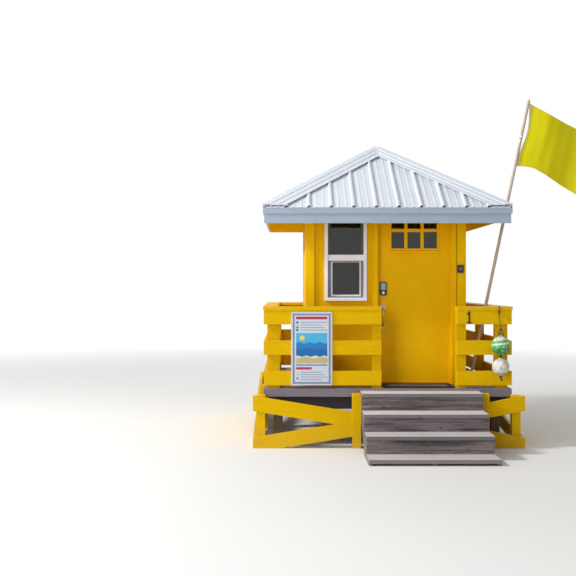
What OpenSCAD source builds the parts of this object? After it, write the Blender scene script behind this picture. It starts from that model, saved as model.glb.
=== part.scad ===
// A small lifeguard tower: a yellow board hut under a ribbed metal hip roof, on a
// low timber deck with four steps, board rails and V-shaped skirt braces.
// X runs to the right along the front, Y runs to the back and Z is up. The origin
// is on the ground, under the post in the middle of the deck.

/* [Deck] */
// Width of the walkway to the left of the hut
walk_left = 465; // [400:5:900]
// Width of the walkway to the right of the hut
walk_right = 425; // [400:5:900]
// Width of the walkways in front of the hut and behind it
walk_front = 425; // [400:5:900]
// Height of the walking surface over the ground
deck_h = 605; // [450:1:900]
// Thickness of the deck boards
deck_board_t = 25; // [18:1:40]
// Width of a deck board with its gap, before the boards are evened out
deck_board_pitch = 145; // [95:1:200]
// Gap between two deck boards
deck_board_gap = 5; // [3:1:12]
// Depth of the joists and of the rim around them
joist_h = 62; // [50:1:140]
// Largest distance between two joists
joist_pitch = 406; // [300:1:450]
// Depth of the beams under the joists
beam_h = 140; // [90:1:190]
// Distance from the edge of the deck to the middle of its outer posts
post_inset = 150; // [90:1:300]

/* [Timber] */
// Thickness of the dressed boards
board_t = 38; // [25:1:50]
// Side of the square posts
post_w = 89; // [70:1:120]

/* [Steps] */
// Distance of the middle of the steps and the entrance to the left of the middle of the door
stair_off = 8; // [0:1:40]
// Width of the flight
stair_w = 1240; // [900:5:1500]
// Distance of the top tread below the walking surface
stair_drop = 23; // [0:1:40]
// Height from one tread to the next
stair_rise = 174; // [140:1:185]
// Distance from one nosing to the next
stair_run = 280; // [240:1:320]
// Overhang of a tread beyond the riser under it
nosing = 25; // [10:1:40]
// Thickness of a riser board
riser_t = 25; // [15:1:38]
// Depth of wood left in a stringer under its notches
stair_throat = 120; // [90:1:140]

/* [Rails] */
// Height of the rail over the walking surface
rail_h = 860; // [760:1:1100]
// Width of a rail board
rail_board_w = 150; // [120:1:160]
// Distance from one rail board to the next
rail_board_pitch = 319; // [280:1:340]
// Width of the cap board
cap_w = 156; // [140:1:200]
// Overhang of the cap over the face of the rail
cap_over = 8; // [4:1:20]
// Width of a corner post as seen from the front
corner_post_w = 130; // [90:1:160]
// Clear width of the entrance between the front rails
entrance_w = 790; // [700:5:1000]

/* [Skirt braces] */
// Width of a brace board
brace_w = 155; // [120:1:170]
// Height of the line on which the two boards of a V meet
brace_mid_z = 248; // [230:1:270]
// Half the spread of the V at the corner, middle of board to middle line
brace_spread = 217; // [190:1:225]
// Half the spread of the V at its narrow end
brace_narrow = 49; // [30:1:70]
// Half the spread of the short V at the steps
brace_short_narrow = 148; // [120:1:160]
// Distance of the posts' outer side beyond the edge of the deck
skirt_out = 71; // [50:1:85]

/* [Hut] */
// Depth of the hut over its walls
hut_d = 1750; // [1500:10:2400]
// Thickness of the walls
wall_t = 100; // [80:1:140]
// Width of the corner boards
corner_board_w = 95; // [70:1:120]
// Thickness of the corner boards and of the casing round the door
trim_t = 19; // [12:1:25]

/* [Door] */
// Distance from the leaf to the right side of the hut
door_in = 137; // [137:1:250]
// Width of the door leaf
door_w = 800; // [700:5:860]
// Height of the door leaf
door_h = 1930; // [1800:5:2100]
// Thickness of the door leaf
door_t = 44; // [35:1:50]
// Running gap round the door leaf
door_gap = 5; // [5:1:8]
// Thickness of the door frame
jamb_t = 20; // [15:1:30]
// How far the stop stands proud of the frame
stop_w = 17; // [12:1:20]
// Depth of the stop, front to back
stop_d = 28; // [15:1:35]
// Width of the casing on the face of the wall
casing_w = 45; // [35:1:50]
// Height of the sill under the door
sill_h = 12; // [8:1:20]
// Width of the light in the door
light_w = 500; // [400:5:560]
// Height of the light in the door
light_h = 398; // [300:1:420]
// Height of the rail over the light
light_top = 64; // [50:1:120]
// Width of the moulding round the light
light_mould_w = 26; // [15:1:35]
// How far the moulding stands proud of the door
light_mould_t = 7; // [3:1:10]
// Height of the ledge under the moulding
ledge_h = 30; // [15:1:45]
// How far the ledge stands proud of the door
ledge_t = 20; // [12:1:25]
// Distance of the lock from the edge of the leaf
backset = 60; // [60:1:70]
// Height of the handle's rose over the walking surface
handle_h = 854; // [800:1:1000]
// Distance from the handle's rose up to the lock
lock_up = 191; // [130:1:300]
// Width of the lock's body
lock_w = 74; // [60:1:76]
// Height of the lock's body
lock_l = 150; // [120:1:165]
// Length of the grip, from the middle of the rose to the end of its foot
grip_l = 243; // [180:1:260]
// How far the grip stands out from the leaf
grip_out = 52; // [45:1:60]

/* [Window] */
// Width of the window over its frame
window_w = 461; // [400:1:480]
// Height of the window over its frame
window_h = 941; // [700:1:960]
// Distance from the left side of the hut to the window
window_in = 189; // [120:1:400]
// Distance from the window to the door leaf
window_gap = 123; // [90:1:400]
// Distance of the top of the window below the top of the door leaf
window_drop = 94; // [90:1:300]
// Width of the window's frame
window_face = 36; // [25:1:45]
// Width of the stiles and rails of the sashes
sash_w = 24; // [22:1:50]
// Height of the rails on which the two sashes meet
meet_w = 64; // [30:1:70]
// Thickness of one sash
sash_t = 22; // [16:1:26]
// Thickness of the glass
glass_t = 4; // [3:1:6]
// Height of the window's sill at its front
window_sill_h = 20; // [12:1:30]
// How far the sill stands out beyond the window's frame
window_sill_out = 12; // [5:1:15]

/* [Roof] */
// Distance of the eave beyond the edge of the deck
eave_out = 10; // [0:5:100]
// Distance of the underside of the metal at the eave below the top of the door leaf
eave_drop = 52; // [0:1:60]
// Rise of the roof for each millimetre of run
roof_slope = 0.61; // [0.45:0.01:0.8]
// Thickness of the metal as modelled
sheet_t = 4; // [2:1:6]
// Distance from one standing rib to the next
rib_pitch = 236; // [200:1:320]
// Height of a standing rib
rib_h = 19; // [12:1:30]
// Width of a standing rib at its foot
rib_foot = 46; // [36:1:60]
// Width of a standing rib at its top
rib_top = 18; // [10:1:26]
// Height of the low ribs between the standing ribs
low_rib_h = 3; // [2:1:5]
// Width of a low rib at its foot
low_rib_foot = 24; // [18:1:30]
// Depth of the rafters
rafter_h = 110; // [80:1:150]
// Largest distance between two rafters
rafter_pitch = 406; // [300:1:500]
// Thickness of the boards under the rafters
lining_t = 12; // [9:1:20]
// Distance from the eave of the metal to the face of the fascia
fascia_in = 15; // [5:1:40]
// Thickness of the fascia
fascia_t = 25; // [15:1:38]
// Height of the front fascia
fascia_h = 170; // [130:1:200]
// Height of the fascia at the sides and the back
fascia_side_h = 120; // [110:1:200]
// Height of the strip on the upper part of the fascia
fascia_strip_h = 70; // [40:1:90]
// Thickness of that strip
fascia_strip_t = 12; // [6:1:14]
// Width of one wing of a hip cap, in plan
hip_cap_w = 172; // [120:1:200]
// Width of each of the two steps of a hip cap, in plan
hip_step_w = 56; // [30:1:60]
// Height of one step of a hip cap
hip_step_h = 5; // [3:1:8]
// Width of the flat cap on the peak
peak_w = 76; // [50:1:120]

/* [Sign and bell] */
// Width of the sign board
sign_w = 430; // [300:5:600]
// Height of the sign board
sign_h = 767; // [600:1:770]
// Thickness of the sign board
sign_t = 12; // [4:1:20]
// Distance from the left edge of the deck to the sign
sign_in = 288; // [200:1:400]
// Distance of the top of the sign below the rail's cap
sign_drop = 20; // [5:1:60]
// Width of the door bell
bell_w = 68; // [40:1:80]
// Height of the door bell
bell_h = 86; // [60:1:120]
// Depth of the door bell
bell_d = 22; // [15:1:35]
// Height of the door bell over the walking surface
bell_mid = 1260; // [1100:1:1400]
// Width of the door mat
mat_w = 740; // [500:10:780]
// Depth of the door mat
mat_d = 370; // [250:5:380]
// Thickness of the door mat
mat_t = 14; // [8:1:20]

/* [Flag] */
// Diameter of the flag pole
pole_d = 34; // [25:1:45]
// Length of the flag pole
pole_l = 3195; // [2900:5:3500]
// Lean of the flag pole to the right, in degrees
pole_lean = 11.9; // [11.9:0.1:14]
// Distance of the pole in front of the middle of the deck
pole_y = 770; // [400:10:850]
// Length of the side of the flag at the pole
flag_hoist = 685; // [500:5:800]
// Length of the flag from the pole to its free edge
flag_fly = 980; // [700:10:1200]
// Thickness of the flag as modelled
flag_t = 8; // [6:1:15]
// Height of a wave of the flag to one side
flag_wave = 45; // [20:1:80]
// Drop of the flag's upper edge for each millimetre along it, over the lean of the pole
flag_droop = 0.21; // [0:0.01:0.3]
// Rise of the flag's lower edge beside the pole, for each millimetre along it
flag_lift = 0.21; // [0:0.01:0.3]
// Drop of the flag's lower edge farther out, for each millimetre along it
flag_sag = 0.35; // [0:0.01:0.5]
// Distance from the pole at which the lower edge has turned down
flag_turn = 300; // [200:5:500]

/* [Floats] */
// Radius of the upper float
float_r1 = 96; // [80:1:110]
// Radius of the lower float
float_r2 = 88; // [70:1:100]
// Diameter of the rope
rope_d = 9; // [6:1:12]
// Distance of the rope from the right edge of the deck
rope_in = 138; // [115:1:140]
// Distance of the middle of the upper float below the top of the rail
float_drop = 401; // [360:1:440]
// Distance between the two floats
float_gap = 39; // [10:1:60]
// Length of rope below the lower float
rope_tail = 57; // [30:1:80]
// Height over the upper float at which the rope hangs straight
rope_straight = 41; // [20:1:60]

/* [Hidden] */
$fn = 48;

// Clearance between seated pieces
seat = 0.3;
// Height that is more than the whole tower
tall = 6000;
// Radius of the rounded arrises on the fittings, the window's frame and the ledge
arris = 4;

// Colours
yellow = [0.85, 0.66, 0.03];
weathered = [0.52, 0.48, 0.47];
grey = [0.70, 0.73, 0.78];
metal_white = [0.93, 0.94, 0.96];
black = [0.05, 0.05, 0.06];
glass_grey = [0.25, 0.28, 0.29, 0.6];

// The hut takes its width from the window, the door and what lies beside them, and
// the deck is the hut with its walkways
hut_w = window_in + window_w + window_gap + door_w + door_in;
deck_w = walk_left + hut_w + walk_right;
deck_d = walk_front + hut_d + walk_front;
deck_x = deck_w / 2;
deck_y = deck_d / 2;
joist_top = deck_h - deck_board_t;
beam_top = joist_top - joist_h;
post_top = beam_top - beam_h;

// Edges and levels of the hut
hut_x0 = -deck_x + walk_left;
hut_x1 = deck_x - walk_right;
hut_shift = (hut_x0 + hut_x1) / 2;
hut_y = hut_d / 2;
trim_x1 = hut_x1 + trim_t;
trim_y = hut_y + trim_t;

// The opening for the door: leaf, running gap, frame and seat
door_x = hut_x1 - door_in - door_w / 2;
leaf_x0 = door_x - door_w / 2;
leaf_x1 = door_x + door_w / 2;
leaf_z0 = deck_h + sill_h + door_gap;
leaf_z1 = leaf_z0 + door_h;
clear_x0 = leaf_x0 - door_gap;
clear_x1 = leaf_x1 + door_gap;
clear_z1 = leaf_z1 + door_gap;
door_ro_x0 = clear_x0 - jamb_t - seat;
door_ro_x1 = clear_x1 + jamb_t + seat;
door_ro_z1 = clear_z1 + jamb_t + seat;
// The inner face of the leaf lies a little inside the inner face of the wall
leaf_inset = 6;
leaf_y1 = -hut_y + wall_t - leaf_inset;
leaf_y0 = leaf_y1 - door_t;
// Butt hinges inside: knuckles clear of the frame, with a plate on the frame and one
// on the edge of the leaf
hinge_r = 6;
hinge_pin_r = 3;
hinge_pin_clear = 0.1;
hinge_h = 90;
hinge_plate_w = 42;
hinge_plate_t = 2;
hinge_in = 180;
hinge_x = leaf_x1 + door_gap / 2;
hinge_y = -hut_y + wall_t + hinge_r + 1;
hinge_z = [leaf_z0 + hinge_in, (leaf_z0 + leaf_z1 - hinge_h) / 2, leaf_z1 - hinge_in - hinge_h];
lock_h = handle_h + lock_up;
// Bores in the leaf for the lock and the handle
lock_bore_d = 54;
lock_shank_d = 40;
// Width, height and depth of the lock's housing inside
lock_housing = [62, 104, 24];

// The roof: half its width and depth over the metal, and the level of its planes.
// A level n is a distance square to the roof plane, up from the underside of the metal.
roof_x = deck_x + eave_out;
roof_y = deck_y + eave_out;
eave_z = leaf_z1 - eave_drop;
pitch = atan(roof_slope);
function plane_z(n) = eave_z + n / cos(pitch);
lining_top_n = -rafter_h - 2 * seat;
lining_low_n = lining_top_n - lining_t;
under_n = lining_low_n - seat;
cap_low_n = sheet_t + rib_h + seat;
fascia_x = roof_x - fascia_in;
fascia_y = roof_y - fascia_in;
fascia_z1 = eave_z + fascia_in * roof_slope - seat;

// The rails
stair_x = door_x - stair_off;
cap_z1 = deck_h + rail_h;
cap_z0 = cap_z1 - board_t;
entrance_x0 = stair_x - entrance_w / 2;
entrance_x1 = stair_x + entrance_w / 2;
end_post_w = 100;

// The steps
stair_x0 = stair_x - stair_w / 2;
stair_x1 = stair_x + stair_w / 2;
treads = floor((deck_h - stair_drop - board_t) / stair_rise) + 1;
function tread_z(i) = deck_h - stair_drop - (treads - i) * stair_rise;
function tread_front(i) = -deck_y - (treads + 1 - i) * stair_run;

// The skirt braces stand in front of the rim and outside the sides of the deck
skirt_x = deck_x + skirt_out;
skirt_y = deck_y + post_w;

// The flag pole leans on the inner edge of the right cap and stands on the deck
pole_x = deck_x + cap_over - cap_w - pole_d / 2 / cos(pole_lean) - seat - rail_h * tan(pole_lean);

// The rope hangs from an eye on the front edge of the right cap
rope_x = deck_x - rope_in;
rope_y = -deck_y - float_r1 - seat;
float_z1 = cap_z1 - float_drop;
float_z2 = float_z1 - float_r1 - float_gap - float_r2;

// The posts of the skirt braces end above the underside of the rim, and those beside
// the steps also stand a little farther out
corner_post_up = 27;
step_post_up = 48;
step_post_out = 9;

// Helpers

// A box given by its two corners
module box(x0, y0, z0, x1, y1, z1) {
    translate([x0, y0, z0]) cube([x1 - x0, y1 - y0, z1 - z0]);
}

// Two copies, one mirrored to the left
module both_sides() {
    children();
    mirror([1, 0, 0]) children();
}

// A rectangle with rounded corners, round the origin
module round_rect(w, h, r) {
    square([w - 2 * r, h], center = true);
    square([w, h - 2 * r], center = true);
    for (x = [-1, 1], y = [-1, 1]) translate([x * (w / 2 - r), y * (h / 2 - r)]) circle(r);
}

// The section of a plate w wide and t thick, with its back on the X axis and its two
// front arrises rounded
module eased_section(w, t, r) {
    translate([-w / 2, r - t]) square([w, t - r]);
    translate([r - w / 2, -t]) square([w - 2 * r, t]);
    for (s = [-1, 1]) translate([s * (w / 2 - r), r - t]) circle(r);
}

// A plate that faces the front, w wide, h high and t thick, with its back in the XZ
// plane, its front arrises rounded and, where a corner radius is given, its corners too
module eased_plate(w, h, t, r, corner = 0) {
    intersection() {
        linear_extrude(h, center = true) eased_section(w, t, r);
        rotate([0, 90, 0]) linear_extrude(w, center = true) eased_section(h, t, r);
        if (corner > 0) rotate([90, 0, 0]) linear_extrude(t) round_rect(w, h, corner);
    }
}

// The solid under a hip roof whose four planes lie on level n
module under_roof(n) {
    z = plane_z(n);
    intersection() {
        translate([0, roof_y, 0]) rotate([90, 0, 0]) linear_extrude(2 * roof_y)
            polygon([[-roof_x, 0], [roof_x, 0], [roof_x, z], [0, z + roof_slope * roof_x], [-roof_x, z]]);
        translate([-roof_x, 0, 0]) rotate([90, 0, 90]) linear_extrude(2 * roof_x)
            polygon([[-roof_y, 0], [roof_y, 0], [roof_y, z], [0, z + roof_slope * roof_y], [-roof_y, z]]);
    }
}

// The space between two levels of the roof
module roof_shell(low, high) {
    difference() {
        under_roof(high);
        under_roof(low);
    }
}

// The outline in plan of one side of the roof, over a front of half width a and half
// depth b, with a gap at its hips
function side_plan(a, b, gap) =
    a > b ? [[-a + gap, -b], [a - gap, -b], [a - b, -gap], [b - a, -gap]]
          : [[-a + gap, -b], [a - gap, -b], [0, -b + a - gap]];

// The four sides of the roof, as blocks that are apart at the hips
module four_sides(gap) {
    for (turn = [0, 1]) {
        rotate(180 * turn) linear_extrude(tall) polygon(side_plan(roof_x, roof_y, gap));
        rotate(180 * turn + 90) linear_extrude(tall) polygon(side_plan(roof_y, roof_x, gap));
    }
}

// The room between the fascia boards
module inside_fascia() {
    x = fascia_x - fascia_t - seat;
    y = fascia_y - fascia_t - seat;
    box(-x, -y, 0, x, y, tall);
}

// Deck

module deck_posts() {
    color(weathered)
        for (x = [-1, 0, 1], y = [-1, 0, 1])
            translate([x * (deck_x - post_inset) - post_w / 2, y * (deck_y - post_inset) - post_w / 2, 0])
                cube([post_w, post_w, post_top]);
}

// Rim boards, joists between them and doubled beams below
module deck_frame() {
    spans = ceil((deck_w - board_t) / joist_pitch);
    x1 = deck_x - board_t;
    y1 = deck_y - board_t;
    color(weathered) {
        for (s = [-1, 1]) {
            translate([-deck_x, s * (deck_y - board_t / 2) - board_t / 2, beam_top])
                cube([deck_w, board_t, joist_h]);
            translate([s * (deck_x - board_t / 2) - board_t / 2, -y1 + seat, beam_top])
                cube([board_t, 2 * (y1 - seat), joist_h]);
        }
        for (i = [1:spans - 1])
            translate([-deck_x + i * (deck_w - board_t) / spans, -y1 + seat, beam_top + seat])
                cube([board_t, 2 * (y1 - seat), joist_h - seat]);
        for (y = [-1, 0, 1])
            translate([-x1 + seat, y * (deck_y - post_inset) - board_t, post_top])
                cube([2 * (x1 - seat), 2 * board_t, beam_h]);
    }
}

module deck_boards() {
    n = round(deck_d / deck_board_pitch);
    pitch_y = (deck_d + deck_board_gap) / n;
    color(weathered)
        for (i = [0:n - 1])
            translate([-deck_x, -deck_y + i * pitch_y, joist_top])
                cube([deck_w, pitch_y - deck_board_gap, deck_board_t]);
}

// Steps

// The front of the riser under tread i, and the cut of a stringer behind it
function riser_front(i) = tread_front(i) + nosing;
function notch(i) = i == 1 ? riser_front(1) : riser_front(i) + riser_t;
// The lower edge of a stringer lies square below its notches by the throat
throat_drop = stair_throat / cos(atan(stair_rise / stair_run));
function throat_z(y) = tread_z(treads - 1) - board_t - throat_drop + (y - notch(treads)) * stair_rise / stair_run;
throat_y = -deck_y - throat_z(-deck_y) * stair_run / stair_rise;

// The side of one sawn stringer, drawn in Y and Z
function stringer_outline() = concat(
    [[-deck_y, throat_z(-deck_y)], [throat_y, 0], [notch(1), 0]],
    [for (i = [1:treads], end = [0, 1])
        [end == 0 ? notch(i) : (i == treads ? -deck_y : notch(i + 1)), tread_z(i) - board_t]]);

module stair_stringers() {
    color(weathered)
        for (x = [stair_x0, stair_x - board_t / 2, stair_x1 - board_t])
            translate([x, 0, 0]) rotate([90, 0, 90]) linear_extrude(board_t) polygon(stringer_outline());
}

module stair_risers() {
    color(weathered)
        for (i = [2:treads])
            box(stair_x0, riser_front(i), tread_z(i - 1) - board_t,
                stair_x1, riser_front(i) + riser_t, tread_z(i) - board_t);
}

// Each tread runs from its nosing back to the riser behind it
module stair_treads() {
    color(weathered)
        for (i = [1:treads])
            box(stair_x0, tread_front(i), tread_z(i) - board_t,
                stair_x1, i == treads ? -deck_y : riser_front(i + 1) - seat, tread_z(i));
}

// Skirt braces

module brace_posts() {
    color(yellow) {
        // At the corners, against the front and the back of the rim
        both_sides() for (y = [-skirt_y, deck_y])
            translate([skirt_x - post_w, y, 0]) cube([post_w, post_w, beam_top + corner_post_up]);
        // In the middle of the back, and under the middle of the sides
        translate([-post_w / 2, deck_y, 0]) cube([post_w, post_w, beam_top + corner_post_up]);
        both_sides() translate([skirt_x - post_w, -post_w / 2, 0]) cube([post_w, post_w, beam_top]);
        // Beside the steps
        for (x = [stair_x0 - post_w, stair_x1])
            translate([x, -skirt_y - board_t - step_post_out, 0]) cube([post_w, post_w, beam_top + step_post_up]);
    }
}

// The outline of one board of a V: it runs from x0 to x1 with its middle line h0 and
// h1 over the line of the V
module v_board(x0, h0, x1, h1) {
    half = brace_w / 2 / cos(atan((h1 - h0) / (x1 - x0)));
    polygon([[x0, h0 - half], [x0, h0 + half], [x1, h1 + half], [x1, h1 - half]]);
}

// A V of two boards that are mitred where they meet, wide at x1, over the ground
module v_pair(x0, h0, x1, h1) {
    intersection() {
        translate([0, brace_mid_z])
            for (s = [0, 1])
                mirror([0, s]) intersection() {
                    v_board(x0, h0, x1, h1);
                    translate([x0, seat / 2]) square([x1 - x0, tall]);
                }
        translate([x0, 0]) square([x1 - x0, tall]);
    }
}

// Two V pairs back to back, narrow in the middle, that reach as far as x1 both ways
module v_cross(x1) {
    for (s = [0, 1]) mirror([s, 0]) v_pair(seat / 2, brace_narrow, x1, brace_spread);
}

module brace_boards() {
    corner = skirt_x + board_t;
    color(yellow) {
        translate([0, -skirt_y, 0]) rotate([90, 0, 0]) linear_extrude(board_t) {
            mirror([1, 0]) v_pair(-stair_x0 + post_w, brace_narrow, corner, brace_spread);
            v_pair(stair_x1 + post_w, brace_short_narrow, corner, brace_spread);
        }
        translate([0, skirt_y + board_t, 0]) rotate([90, 0, 0]) linear_extrude(board_t) v_cross(corner);
        both_sides() translate([skirt_x, 0, 0]) rotate([90, 0, 90]) linear_extrude(board_t) v_cross(skirt_y - seat);
    }
}

// Rails

// A post of the rail, w wide along the front, with its left front corner at x and y
module rail_post(x, y, w) {
    translate([x, y, deck_h]) cube([w, post_w, cap_z0 - deck_h]);
}

module rail_posts() {
    front = -deck_y + board_t;
    back = deck_y - board_t - post_w;
    color(yellow) {
        // At the corners, in the middle of each side and of the back, and beside the entrance
        both_sides() for (y = [front, back]) rail_post(deck_x - board_t - corner_post_w, y, corner_post_w);
        both_sides() rail_post(deck_x - board_t - post_w, -post_w / 2, post_w);
        rail_post(-post_w / 2, back, post_w);
        for (x = [entrance_x0 - end_post_w, entrance_x1]) rail_post(x, front, end_post_w);
    }
}

// Three rail boards along X, from x0 to x1, with their front at y
module boards_along_x(x0, x1, y) {
    for (i = [0:2])
        translate([x0, y, cap_z0 - rail_board_w - i * rail_board_pitch]) cube([x1 - x0, board_t, rail_board_w]);
}

// Three rail boards along the right side of the deck, between those of the front and back
module boards_along_y() {
    for (i = [0:2])
        translate([deck_x - board_t, -deck_y + board_t, cap_z0 - rail_board_w - i * rail_board_pitch])
            cube([board_t, deck_d - 2 * board_t, rail_board_w]);
}

module rail_front_left() { color(yellow) boards_along_x(-deck_x, entrance_x0, -deck_y); }
module rail_front_right() { color(yellow) boards_along_x(entrance_x1, deck_x, -deck_y); }
module rail_left() { color(yellow) mirror([1, 0, 0]) boards_along_y(); }
module rail_right() { color(yellow) boards_along_y(); }
module rail_back() { color(yellow) boards_along_x(-deck_x, deck_x, deck_y - board_t); }

// Caps along the front and the back, and between them along the sides
module rail_caps() {
    x = deck_x + cap_over;
    y = deck_y + cap_over;
    color(yellow) {
        box(-x, -y, cap_z0, entrance_x0, -y + cap_w, cap_z1);
        box(entrance_x1, -y, cap_z0, x, -y + cap_w, cap_z1);
        box(-x, y - cap_w, cap_z0, x, y, cap_z1);
        both_sides() box(x - cap_w, -y + cap_w + seat, cap_z0, x, y - cap_w - seat, cap_z1);
    }
}

// Walls

// A wall piece from the deck up to the boards under the rafters
module wall(x0, y0, x1, y1, z0 = deck_h) {
    intersection() {
        box(x0, y0, z0, x1, y1, tall);
        under_roof(under_n);
    }
}

module front_wall_left() {
    w = window_w / 2 - window_lap;
    h = window_h / 2 - window_lap;
    color(yellow)
        difference() {
            wall(hut_x0, -hut_y, door_ro_x0, -hut_y + wall_t);
            at_window() box(-w, -1, -h, w, wall_t + 1, h);
        }
}

module front_wall_right() { color(yellow) wall(door_ro_x1, -hut_y, hut_x1, -hut_y + wall_t); }
module front_wall_over_door() {
    color(yellow) wall(door_ro_x0, -hut_y, door_ro_x1, -hut_y + wall_t, door_ro_z1);
}
module side_walls() {
    color(yellow)
        for (x = [hut_x0, hut_x1 - wall_t])
            wall(x, -hut_y + wall_t, x + wall_t, hut_y - wall_t);
}
module back_wall() { color(yellow) wall(hut_x0, hut_y - wall_t, hut_x1, hut_y); }

module corner_boards() {
    color(yellow)
        intersection() {
            translate([hut_shift, 0, 0])
                for (sx = [0, 1], sy = [0, 1])
                    mirror([sx, 0, 0]) mirror([0, sy, 0])
                        difference() {
                            box(hut_w / 2 + trim_t - corner_board_w, trim_y - corner_board_w, deck_h,
                                hut_w / 2 + trim_t, trim_y, tall);
                            box(0, 0, 0, hut_w / 2, hut_y, tall);
                        }
            under_roof(under_n);
        }
}

// Door

module door_frame() {
    x0 = door_ro_x0 + seat;
    x1 = door_ro_x1 - seat;
    z1 = door_ro_z1 - seat;
    y1 = -hut_y + wall_t;
    stop_y1 = leaf_y0 - door_gap;
    color(yellow) {
        difference() {
            box(x0, -hut_y, deck_h, x1, y1, z1);
            box(clear_x0, -hut_y - 1, deck_h + sill_h, clear_x1, y1 + 1, clear_z1);
        }
        // The stop, in front of the leaf
        difference() {
            box(clear_x0, stop_y1 - stop_d, deck_h + sill_h, clear_x1, stop_y1, clear_z1);
            box(clear_x0 + stop_w, stop_y1 - stop_d - 1, 0, clear_x1 - stop_w, stop_y1 + 1, clear_z1 - stop_w);
        }
        // The casing on the face of the wall
        intersection() {
            difference() {
                box(clear_x0 - casing_w, -trim_y, deck_h, clear_x1 + casing_w, -hut_y, tall);
                box(clear_x0, -trim_y - 1, 0, clear_x1, -hut_y + 1, clear_z1);
            }
            under_roof(under_n);
        }
    }
}

module at_hinges() {
    for (z = hinge_z) translate([hinge_x, hinge_y, z]) children();
}

// Outer knuckles, pin and plate of each hinge, on the frame
module hinge_frame_leaves() {
    third = hinge_h / 3;
    color("silver") at_hinges() {
        difference() {
            union() {
                cylinder(r = hinge_r, h = hinge_h);
                box(door_gap / 2 - hinge_plate_t, -hinge_plate_w, 0, door_gap / 2, 0, hinge_h);
            }
            translate([0, 0, third - seat]) cylinder(r = hinge_r + seat, h = third + 2 * seat);
        }
        cylinder(r = hinge_pin_r, h = hinge_h);
    }
}

// Middle knuckle and plate of each hinge, on the edge of the leaf
module hinge_door_leaves() {
    third = hinge_h / 3;
    x0 = -door_gap / 2;
    x1 = x0 + hinge_plate_t;
    color("silver") at_hinges()
        difference() {
            union() {
                translate([0, 0, third]) cylinder(r = hinge_r, h = third);
                box(x0, -hinge_plate_w, third, x1, 0, 2 * third);
                box(x0, -hinge_plate_w, 0, x1, -hinge_r - seat, hinge_h);
            }
            cylinder(r = hinge_pin_r + hinge_pin_clear, h = hinge_h);
        }
}

module door() {
    mid = leaf_x0 + backset;
    x0 = door_x - light_w / 2;
    x1 = door_x + light_w / 2;
    z0 = leaf_z1 - light_top - light_h;
    z1 = leaf_z1 - light_top;
    m = light_mould_w;
    ledge_over = 10;
    color(yellow)
        difference() {
            union() {
                box(leaf_x0, leaf_y0, leaf_z0, leaf_x1, leaf_y1, leaf_z1);
                translate([door_x, leaf_y0, (z0 + z1) / 2])
                    eased_plate(light_w + 2 * m, light_h + 2 * m, light_mould_t, light_mould_t / 2);
                translate([door_x, leaf_y0, z0 - m - ledge_h / 2])
                    eased_plate(light_w + 2 * m + 2 * ledge_over, ledge_h, ledge_t, arris);
            }
            box(x0, leaf_y0 - ledge_t - 1, z0, x1, leaf_y1 + 1, z1);
            for (h = [lock_h, handle_h])
                translate([mid, leaf_y0 - 1, deck_h + h]) rotate([-90, 0, 0])
                    cylinder(d = lock_bore_d, h = door_t + 2);
        }
}

module door_glass() {
    y = (leaf_y0 + leaf_y1) / 2;
    color(glass_grey)
        box(door_x - light_w / 2 + seat, y - glass_t / 2, leaf_z1 - light_top - light_h + seat,
            door_x + light_w / 2 - seat, y + glass_t / 2, leaf_z1 - light_top - seat);
}

// Places its children on the middle of the lock or the handle, at the face of the leaf
module on_leaf(h) {
    translate([leaf_x0 + backset, leaf_y0 - seat, deck_h + h]) children();
}

// Places its children on the other face of the leaf, turned to face the room
module behind_leaf() {
    translate([0, door_t + 2 * seat, 0]) rotate(180) children();
}

// The round shank that fills the bore through the leaf
module shank() {
    rotate([-90, 0, 0]) cylinder(d = lock_shank_d, h = door_t + 2 * seat);
}

// A body with a keypad above a keyhole cover, and the housing and thumb turn inside
module door_lock() {
    body_t = 20;
    pad_t = 3;
    turn_t = 12;
    color(black)
        on_leaf(lock_h) {
            eased_plate(lock_w, lock_l, body_t, arris, 22);
            translate([0, 1 - body_t, lock_l * 0.16]) eased_plate(lock_w - 22, lock_l * 0.5, pad_t + 1, 2, 12);
            translate([0, -body_t, -lock_l * 0.3]) rotate([90, 0, 0]) cylinder(d = 30, h = pad_t);
            shank();
            behind_leaf() {
                eased_plate(lock_housing[0], lock_housing[1], lock_housing[2], arris, 14);
                translate([0, -lock_housing[2], 0]) eased_plate(10, 36, turn_t, 3);
            }
        }
}

// A rose with a thumb piece, a bowed grip down to its foot, and a round knob inside
module door_handle() {
    grip_r = 8;
    rose_w = 60;
    rose_h = 72;
    rose_t = 12;
    foot_w = 34;
    foot_t = 10;
    // The bow of the grip, from inside the rose down to the middle of its foot
    sunk = 8;
    high = -20;
    low = foot_w / 2 - grip_l;
    chord = high - low;
    rise = grip_out - grip_r - sunk;
    bow_r = (chord * chord / 4 + rise * rise) / (2 * rise);
    half = asin(chord / 2 / bow_r);
    color(black)
        on_leaf(handle_h) {
            eased_plate(rose_w, rose_h, rose_t, arris, 18);
            translate([0, 1 - rose_t, 14]) eased_plate(22, 16, 30, arris);
            translate([0, bow_r - rise - sunk, (high + low) / 2])
                rotate([0, -90, 0]) rotate(-90 - half) rotate_extrude(angle = 2 * half)
                    translate([bow_r, 0]) circle(grip_r);
            translate([0, 0, low]) eased_plate(foot_w, foot_w, foot_t, 3, 10);
            shank();
            behind_leaf() rotate([90, 0, 0]) {
                cylinder(d = 62, h = 9);
                cylinder(d = 24, h = 24);
                translate([0, 0, 24]) rotate_extrude() {
                    square([20, 20]);
                    translate([0, 5]) square([25, 10]);
                    for (y = [5, 15]) translate([20, y]) circle(5);
                }
            }
        }
}

// Window

// A flat ring in X and Z round the origin, from y0 to y1
module ring(w, h, face, y0, y1) {
    difference() {
        box(-w / 2, y0, -h / 2, w / 2, y1, h / 2);
        box(-w / 2 + face, y0 - 1, -h / 2 + face, w / 2 - face, y1 + 1, h / 2 - face);
    }
}

// How far the face of the frame laps over the wall
window_lap = 8;
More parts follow.
